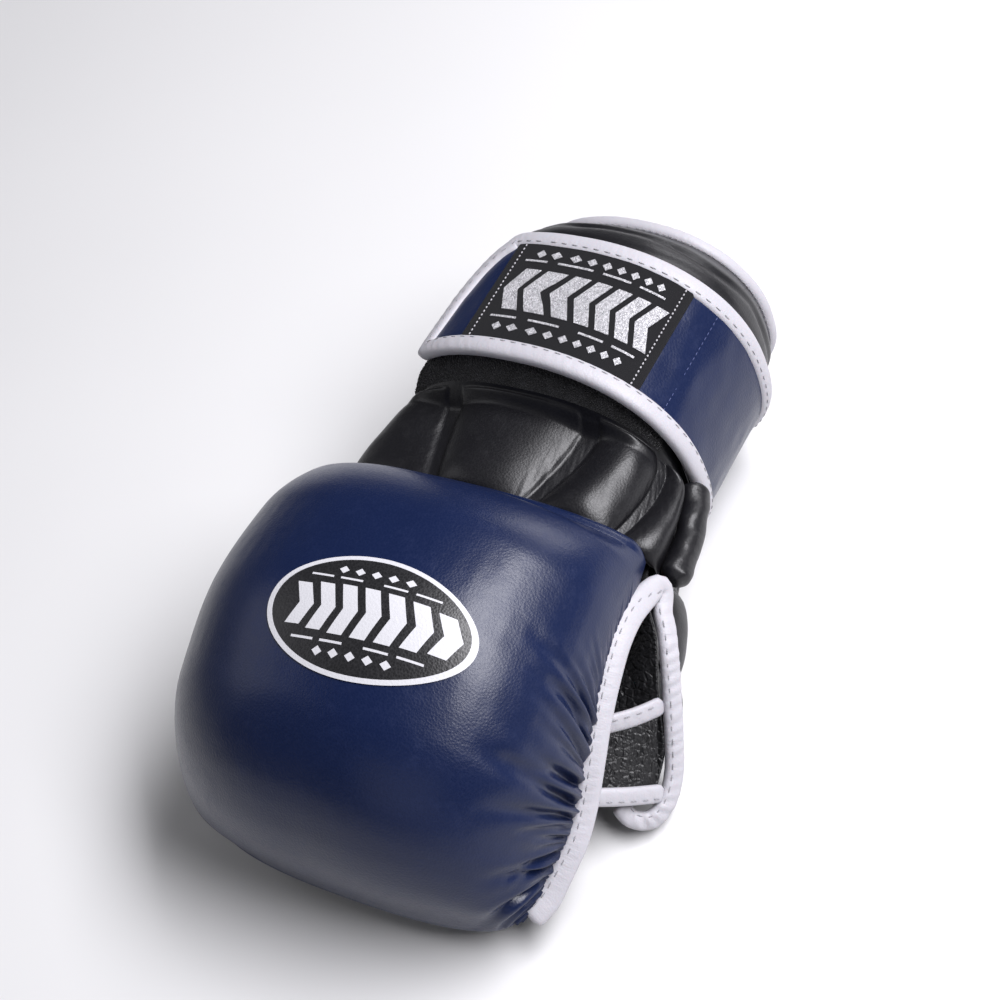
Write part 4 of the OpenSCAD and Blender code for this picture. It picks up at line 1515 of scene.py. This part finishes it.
def finger_loops():
    """Four leather finger loops and the padded bar across the palm."""
    for k, finger in enumerate(("index", "middle", "ring", "little")):

        def surface(u, v):
            y = mix(-53, -72, u)
            hem = 0.5 * dip((u - 0.94) * 19, 1.0) + 0.5 * dip((u - 0.06) * 19, 1.0)
            wave = 0.25 * waver(v * 9 + k, y * 0.15)
            at, inner = finger_ring(k, y, v), finger_ring(k, y, v, 1.0)
            return inner.lerp(at, 0.6 + hem * 0.35 + wave * 0.5)

        bm = lattice(26, 96, surface, (19, 90), wrap=True)
        centre = ((1.5 - k) * 28, -62, 22)
        piece(bm, f"finger_loop_{finger}_leather", "black_leather", "fingers",
              (f"finger_loop_{finger}",), inside=centre, thick=1.4, rounds=1)
    route = [(-54, -57.5, 7.2), (-46, -60.5, 5.6), (-34, -61.5, 5.0), (-10, -63, 4.7),
             (14, -62.5, 4.7), (34, -61.5, 5.0), (45, -61.5, 5.6)]
    points = smooth_route(route, 0.8)
    count = len(points)

    def roll(u, v):
        i = round(u * (count - 1))
        angle, run = 360 * v, i * 0.8
        t = (points[min(count - 1, i + 1)] - points[max(0, i - 1)]).normalized()
        side = Vector((0, 0, 1)).cross(t).normalized()
        up = t.cross(side)
        r = 4.25 + 0.3 * waver(run * 0.35, cosd(angle), sind(angle))
        r -= 0.5 * dip((run % 28) - 14, 1.2)
        r *= min(1, (i + 0.5) / 5, (count - i - 0.5) / 5) ** 0.5
        return points[i] + (side * cosd(angle) + up * sind(angle)) * r

    bm = lattice(count - 1, 36, roll, (count * 0.8, 27), wrap=True)
    bmesh.ops.holes_fill(bm, edges=[e for e in bm.edges if e.is_boundary], sides=0)
    obj = piece(bm, "finger_bar_leather", "creased_leather", "fingers", ("finger_bar",))


# ---- The thumb --------------------------------------------------------------


def thumb_pieces():
    """The thumb's sleeve, its soft root and its two pads."""
    joint = HINGES["thumb_tip_bend"]
    way = (THUMB_END - THUMB_ROOT).normalized()
    bend_from = (joint - ORIGIN) / MM - way * 6
    bend_to = (joint - ORIGIN) / MM + way * 6

    def sleeve(u, v):
        along = mix(-0.5, THUMB_LEN + TIP_LEN, u)
        crease = 0.5 * dip(along - THUMB_LEN, 1.6) + 0.3 * waver(along * 0.2, v * 6, 1)
        return thumb(along, 360 * v, THUMB_R - 0.1 - crease)

    bm = lattice(100, 90, sleeve, (54, 66), wrap=True)
    piece(bm, "thumb_sleeve_leather", "black_leather", ("thumb", "thumb_tip", tuple(bend_from),
          tuple(bend_to)), ("thumb_sleeve", "thumb_tip_sleeve"), inside=(51, -12, 13), thick=1.3)
    rim = [thumb(THUMB_LEN + TIP_LEN + 0.2, 12 * i, THUMB_R - 0.9) for i in range(31)]
    bm = tape(rim, tuple(way), 3.0, 1.8, closed=True, pucker=0.2, seed=5, pitch=0.9)
    piece(bm, "thumb_end_hem", "black_leather", "thumb_tip", inside=(61, -36, 12))
    for name, body, low, high, stands in (
        ("thumb_pad_leather", "thumb", 2.0, THUMB_LEN - 0.9, ("thumb_pad_cover", "thumb_pad_foam")),
        ("thumb_tip_pad_leather", "thumb_tip", THUMB_LEN + 0.9, THUMB_LEN + TIP_LEN + 0.3,
         ("thumb_tip_pad_cover", "thumb_tip_pad_foam")),
    ):

        def crown(u, v):
            e = (sind(180 * u) ** 0.42) * (sind(180 * v) ** 0.42)
            along, angle = mix(low, high, u), mix(-52, 84, v)
            near = min(u * (high - low), (1 - u) * (high - low), v * 25, (1 - v) * 25)
            pull = 0.3 * waver(along * 0.9, angle * 0.12, 3) * dip(near - 1.5, 2.0)
            soft = 0.25 * waver(along * 0.12, angle * 0.04, 5)
            return thumb(along, angle, THUMB_R + 0.1 + THUMB_PAD * e + (pull + soft) * min(1, e))

        middle = thumb((low + high) / 2, 0, 0)
        moved = filling(20, 20, crown, lambda u, v: min(u, 1 - u, v, 1 - v) < 0.06, middle, cap=0.7)
        bm = lattice(70, 70, lambda u, v: crown(u, v) + moved(u, v), (high - low, 28))
        obj = piece(bm, name, "black_leather", body, stands, inside=tuple(middle), thick=0.8)
        seam = [thumb(along, 82, THUMB_R + 0.4) for along in
                [mix(low + 1, high - 1, i / 8) for i in range(9)]]
        bm = tape(seam, tuple(thumb(low, 82, 1) - thumb(low, 82, 0)), 1.5, 1.1, pitch=0.7)
        piece(bm, name.replace("leather", "piping"), "black_leather", body, inside=tuple(middle))

    def root(u, v):
        along = mix(-11, 1.0, u)
        flare = 1.6 * (1 - u) ** 2
        crease = 0.5 * waver(v * 14, u * 1.4, 3)
        return thumb(along, 360 * v, THUMB_R - 0.5 + flare + crease * sind(180 * u))

    first = (THUMB_JOINT - THUMB_ROOT).normalized()
    bm = lattice(24, 90, root, (12, 66), wrap=True)
    piece(bm, "thumb_web_leather", "creased_leather",
          ("hand", "thumb", tuple(THUMB_ROOT - first * 9), tuple(THUMB_ROOT)), ("thumb_web",),
          inside=(41, 14, 14), thick=1.1)


# ---- Stage ------------------------------------------------------------------

EYE = Vector((390.25, -342.46, 614.85))  # the camera, in the glove's own millimetres
LOOK_X = Vector((0.8367, 0.4628, -0.2928))
LOOK_Y = Vector((-0.2022, 0.7579, 0.6202))
LOOK_Z = Vector((0.5089, -0.4597, 0.7278))


def stage():
    """A pale floor, soft lights and the camera."""
    bm = bmesh.new()
    bmesh.ops.create_grid(bm, x_segments=8, y_segments=8, size=6.0)
    mesh = bpy.data.meshes.new("floor")
    bm.to_mesh(mesh)
    bm.free()
    mesh.materials.append(FINISHES["pale_floor"]())
    floor = bpy.data.objects.new("floor", mesh)
    bpy.context.scene.collection.objects.link(floor)
    camera = bpy.data.cameras.new("camera")
    camera.lens, camera.sensor_width = 85, 36
    view = bpy.data.objects.new("camera", camera)
    bpy.context.scene.collection.objects.link(view)
    turn = Matrix((LOOK_X, LOOK_Y, LOOK_Z)).transposed().to_4x4()
    turn.translation = place(EYE)
    view.matrix_world = turn
    camera.clip_start, camera.clip_end = 0.01, 50
    bpy.context.scene.camera = view
    aim = place((0, -20, 55))
    for name, at, size, power, run in (
        ("key_light", (0.64, 0.20, 0.98), (1.15, 0.40), 26.0, (-0.69, 0.72, 0)),
        ("back_light", (0.10, 1.05, 0.42), (0.6, 0.3), 2.6, (1, 0, 0)),
        ("side_light", (-0.95, -0.30, 0.75), (0.8, 0.6), 1.5, (0, 1, 0)),
        ("front_light", (0.25, -1.1, 0.45), (0.9, 0.5), 0.7, (1, 0, 0)),
    ):
        light = bpy.data.lights.new(name, "AREA")
        light.shape, light.size, light.size_y = "RECTANGLE", *size
        light.energy, light.color = power, (0.97, 0.96, 1.0)
        lamp = bpy.data.objects.new(name, light)
        bpy.context.scene.collection.objects.link(lamp)
        back = (Vector(at) - aim).normalized()  # a light shines along its own -Z
        side = (Vector(run) - Vector(run).dot(back) * back).normalized()
        lamp.matrix_world = Matrix.Translation(at) @ Matrix(
            (side, back.cross(side), back)
        ).transposed().to_4x4()
    world = bpy.data.worlds.new("studio")
    world.use_nodes = True
    world.node_tree.nodes["Background"].inputs[0].default_value = (0.95, 0.96, 1.0, 1)
    world.node_tree.nodes["Background"].inputs[1].default_value = 0.08
    bpy.context.scene.world = world
    bpy.context.scene.view_settings.view_transform = "Standard"


# ---- Add-on -----------------------------------------------------------------


class GloveSettings(bpy.types.PropertyGroup):
    """Sizes and colours that a user may change."""

    channel_rise: FloatProperty(
        name="Channel rise", description="Height of the sewn channels above their lanes",
        default=0.006, unit="LENGTH",
    )
    badge_length: FloatProperty(
        name="Badge length", description="Length of the oval badge", default=0.065, unit="LENGTH"
    )
    badge_width: FloatProperty(
        name="Badge width", description="Width of the oval badge", default=0.045, unit="LENGTH"
    )
    navy: FloatVectorProperty(
        name="Pad colour", description="Colour of the pad's and the strap's leather",
        default=(0.0035, 0.0096, 0.043), subtype="COLOR",
    )
    black: FloatVectorProperty(
        name="Hand colour", description="Colour of the hand's leather",
        default=(0.0045, 0.0044, 0.006), subtype="COLOR",
    )
    white: FloatVectorProperty(
        name="Tape colour", description="Colour of the edge tapes",
        default=(0.46, 0.45, 0.485), subtype="COLOR",
    )


class GLOVE_OT_back_of_hand(bpy.types.Operator):
    """Four padded channels sewn between flat lanes on the back of the hand"""

    bl_idname = "glove.back_of_hand"
    bl_label = "Padded back"
    bl_options = {"REGISTER", "UNDO"}

    def execute(self, context):
        back_of_hand(context.scene.glove)
        return {"FINISHED"}


class GLOVE_OT_side_panels(bpy.types.Operator):
    """Plain leather on the outer and thumb sides, and the padded roll"""

    bl_idname = "glove.side_panels"
    bl_label = "Side panels"
    bl_options = {"REGISTER", "UNDO"}

    def execute(self, context):
        side_panels()
        return {"FINISHED"}


class GLOVE_OT_palm_heel(bpy.types.Operator):
    """The padded heel of the palm"""

    bl_idname = "glove.palm_heel"
    bl_label = "Palm heel"
    bl_options = {"REGISTER", "UNDO"}

    def execute(self, context):
        palm_heel()
        return {"FINISHED"}


class GLOVE_OT_cuff(bpy.types.Operator):
    """The padded cuff, its lining, edge tape, elastic and pile panel"""

    bl_idname = "glove.cuff"
    bl_label = "Cuff"
    bl_options = {"REGISTER", "UNDO"}

    def execute(self, context):
        cuff()
        return {"FINISHED"}


class GLOVE_OT_rest_patch(bpy.types.Operator):
    """The sewn patch under the wrist"""

    bl_idname = "glove.rest_patch"
    bl_label = "Rest patch"
    bl_options = {"REGISTER", "UNDO"}

    def execute(self, context):
        rest_patch()
        return {"FINISHED"}


class GLOVE_OT_wrist_strap(bpy.types.Operator):
    """The strap's leather, linings and hook tape"""

    bl_idname = "glove.wrist_strap"
    bl_label = "Wrist strap"
    bl_options = {"REGISTER", "UNDO"}

    def execute(self, context):
        wrist_strap()
        return {"FINISHED"}


class GLOVE_OT_strap_tapes(bpy.types.Operator):
    """The white tape round the strap's edges"""

    bl_idname = "glove.strap_tapes"
    bl_label = "Strap tapes"
    bl_options = {"REGISTER", "UNDO"}

    def execute(self, context):
        strap_tapes()
        return {"FINISHED"}


class GLOVE_OT_strap_label(bpy.types.Operator):
    """The woven label and its pattern of silver bars"""

    bl_idname = "glove.strap_label"
    bl_label = "Strap label"
    bl_options = {"REGISTER", "UNDO"}

    def execute(self, context):
        strap_label()
        return {"FINISHED"}


class GLOVE_OT_knuckle_pad(bpy.types.Operator):
    """The thick curved pad over the knuckles and fingers, and its lining"""

    bl_idname = "glove.knuckle_pad"
    bl_label = "Knuckle pad"
    bl_options = {"REGISTER", "UNDO"}

    def execute(self, context):
        knuckle_pad()
        return {"FINISHED"}


class GLOVE_OT_badge(bpy.types.Operator):
    """The oval printed badge: a rim, chevrons, bars and diamonds"""

    bl_idname = "glove.badge"
    bl_label = "Badge"
    bl_options = {"REGISTER", "UNDO"}

    def execute(self, context):
        badge(context.scene.glove)
        return {"FINISHED"}


class GLOVE_OT_edge_tapes(bpy.types.Operator):
    """The white tapes from the pad's edges round to the palm's"""

    bl_idname = "glove.edge_tapes"
    bl_label = "Edge tapes"
    bl_options = {"REGISTER", "UNDO"}

    def execute(self, context):
        edge_tapes()
        return {"FINISHED"}


class GLOVE_OT_finger_webs(bpy.types.Operator):
    """The creased leather strips beside the fingers, and their tapes"""

    bl_idname = "glove.finger_webs"
    bl_label = "Finger webs"
    bl_options = {"REGISTER", "UNDO"}

    def execute(self, context):
        finger_webs()
        return {"FINISHED"}


class GLOVE_OT_palm_front(bpy.types.Operator):
    """The soft leather of the palm and over the thumb"""

    bl_idname = "glove.palm_front"
    bl_label = "Palm front"
    bl_options = {"REGISTER", "UNDO"}

    def execute(self, context):
        palm_front()
        return {"FINISHED"}


class GLOVE_OT_finger_loops(bpy.types.Operator):
    """Four leather finger loops and the padded bar across the palm"""

    bl_idname = "glove.finger_loops"
    bl_label = "Finger loops"
    bl_options = {"REGISTER", "UNDO"}

    def execute(self, context):
        finger_loops()
        return {"FINISHED"}


class GLOVE_OT_thumb_pieces(bpy.types.Operator):
    """The thumb's sleeve, its soft root and its two pads"""

    bl_idname = "glove.thumb_pieces"
    bl_label = "Thumb"
    bl_options = {"REGISTER", "UNDO"}

    def execute(self, context):
        thumb_pieces()
        return {"FINISHED"}


class GLOVE_OT_stage(bpy.types.Operator):
    """A pale floor, soft lights and the camera"""

    bl_idname = "glove.stage"
    bl_label = "Stage"
    bl_options = {"REGISTER", "UNDO"}

    def execute(self, context):
        stage()
        return {"FINISHED"}


BUILDERS = (
    GLOVE_OT_back_of_hand,
    GLOVE_OT_side_panels,
    GLOVE_OT_palm_heel,
    GLOVE_OT_cuff,
    GLOVE_OT_rest_patch,
    GLOVE_OT_wrist_strap,
    GLOVE_OT_strap_tapes,
    GLOVE_OT_strap_label,
    GLOVE_OT_knuckle_pad,
    GLOVE_OT_badge,
    GLOVE_OT_edge_tapes,
    GLOVE_OT_finger_webs,
    GLOVE_OT_palm_front,
    GLOVE_OT_finger_loops,
    GLOVE_OT_thumb_pieces,
    GLOVE_OT_stage,
)


class GLOVE_PT_panel(bpy.types.Panel):
    """Lists the glove's sizes and the buttons that build it."""

    bl_label = "Sparring glove"
    bl_idname = "GLOVE_PT_panel"
    bl_space_type = "VIEW_3D"
    bl_region_type = "UI"
    bl_category = "Glove"

    def draw(self, context):
        for name in GloveSettings.__annotations__:
            self.layout.prop(context.scene.glove, name)
        for builder in BUILDERS:
            self.layout.operator(builder.bl_idname)


CLASSES = (GloveSettings, *BUILDERS, GLOVE_PT_panel)


def register():
    for cls in CLASSES:
        bpy.utils.register_class(cls)
    bpy.types.Scene.glove = PointerProperty(type=GloveSettings)


def unregister():
    del bpy.types.Scene.glove
    for cls in reversed(CLASSES):
        bpy.utils.unregister_class(cls)


def main():
    register()
    for builder in BUILDERS:
        group, name = builder.bl_idname.split(".")
        getattr(getattr(bpy.ops, group), name)()


if __name__ == "__main__":
    main()
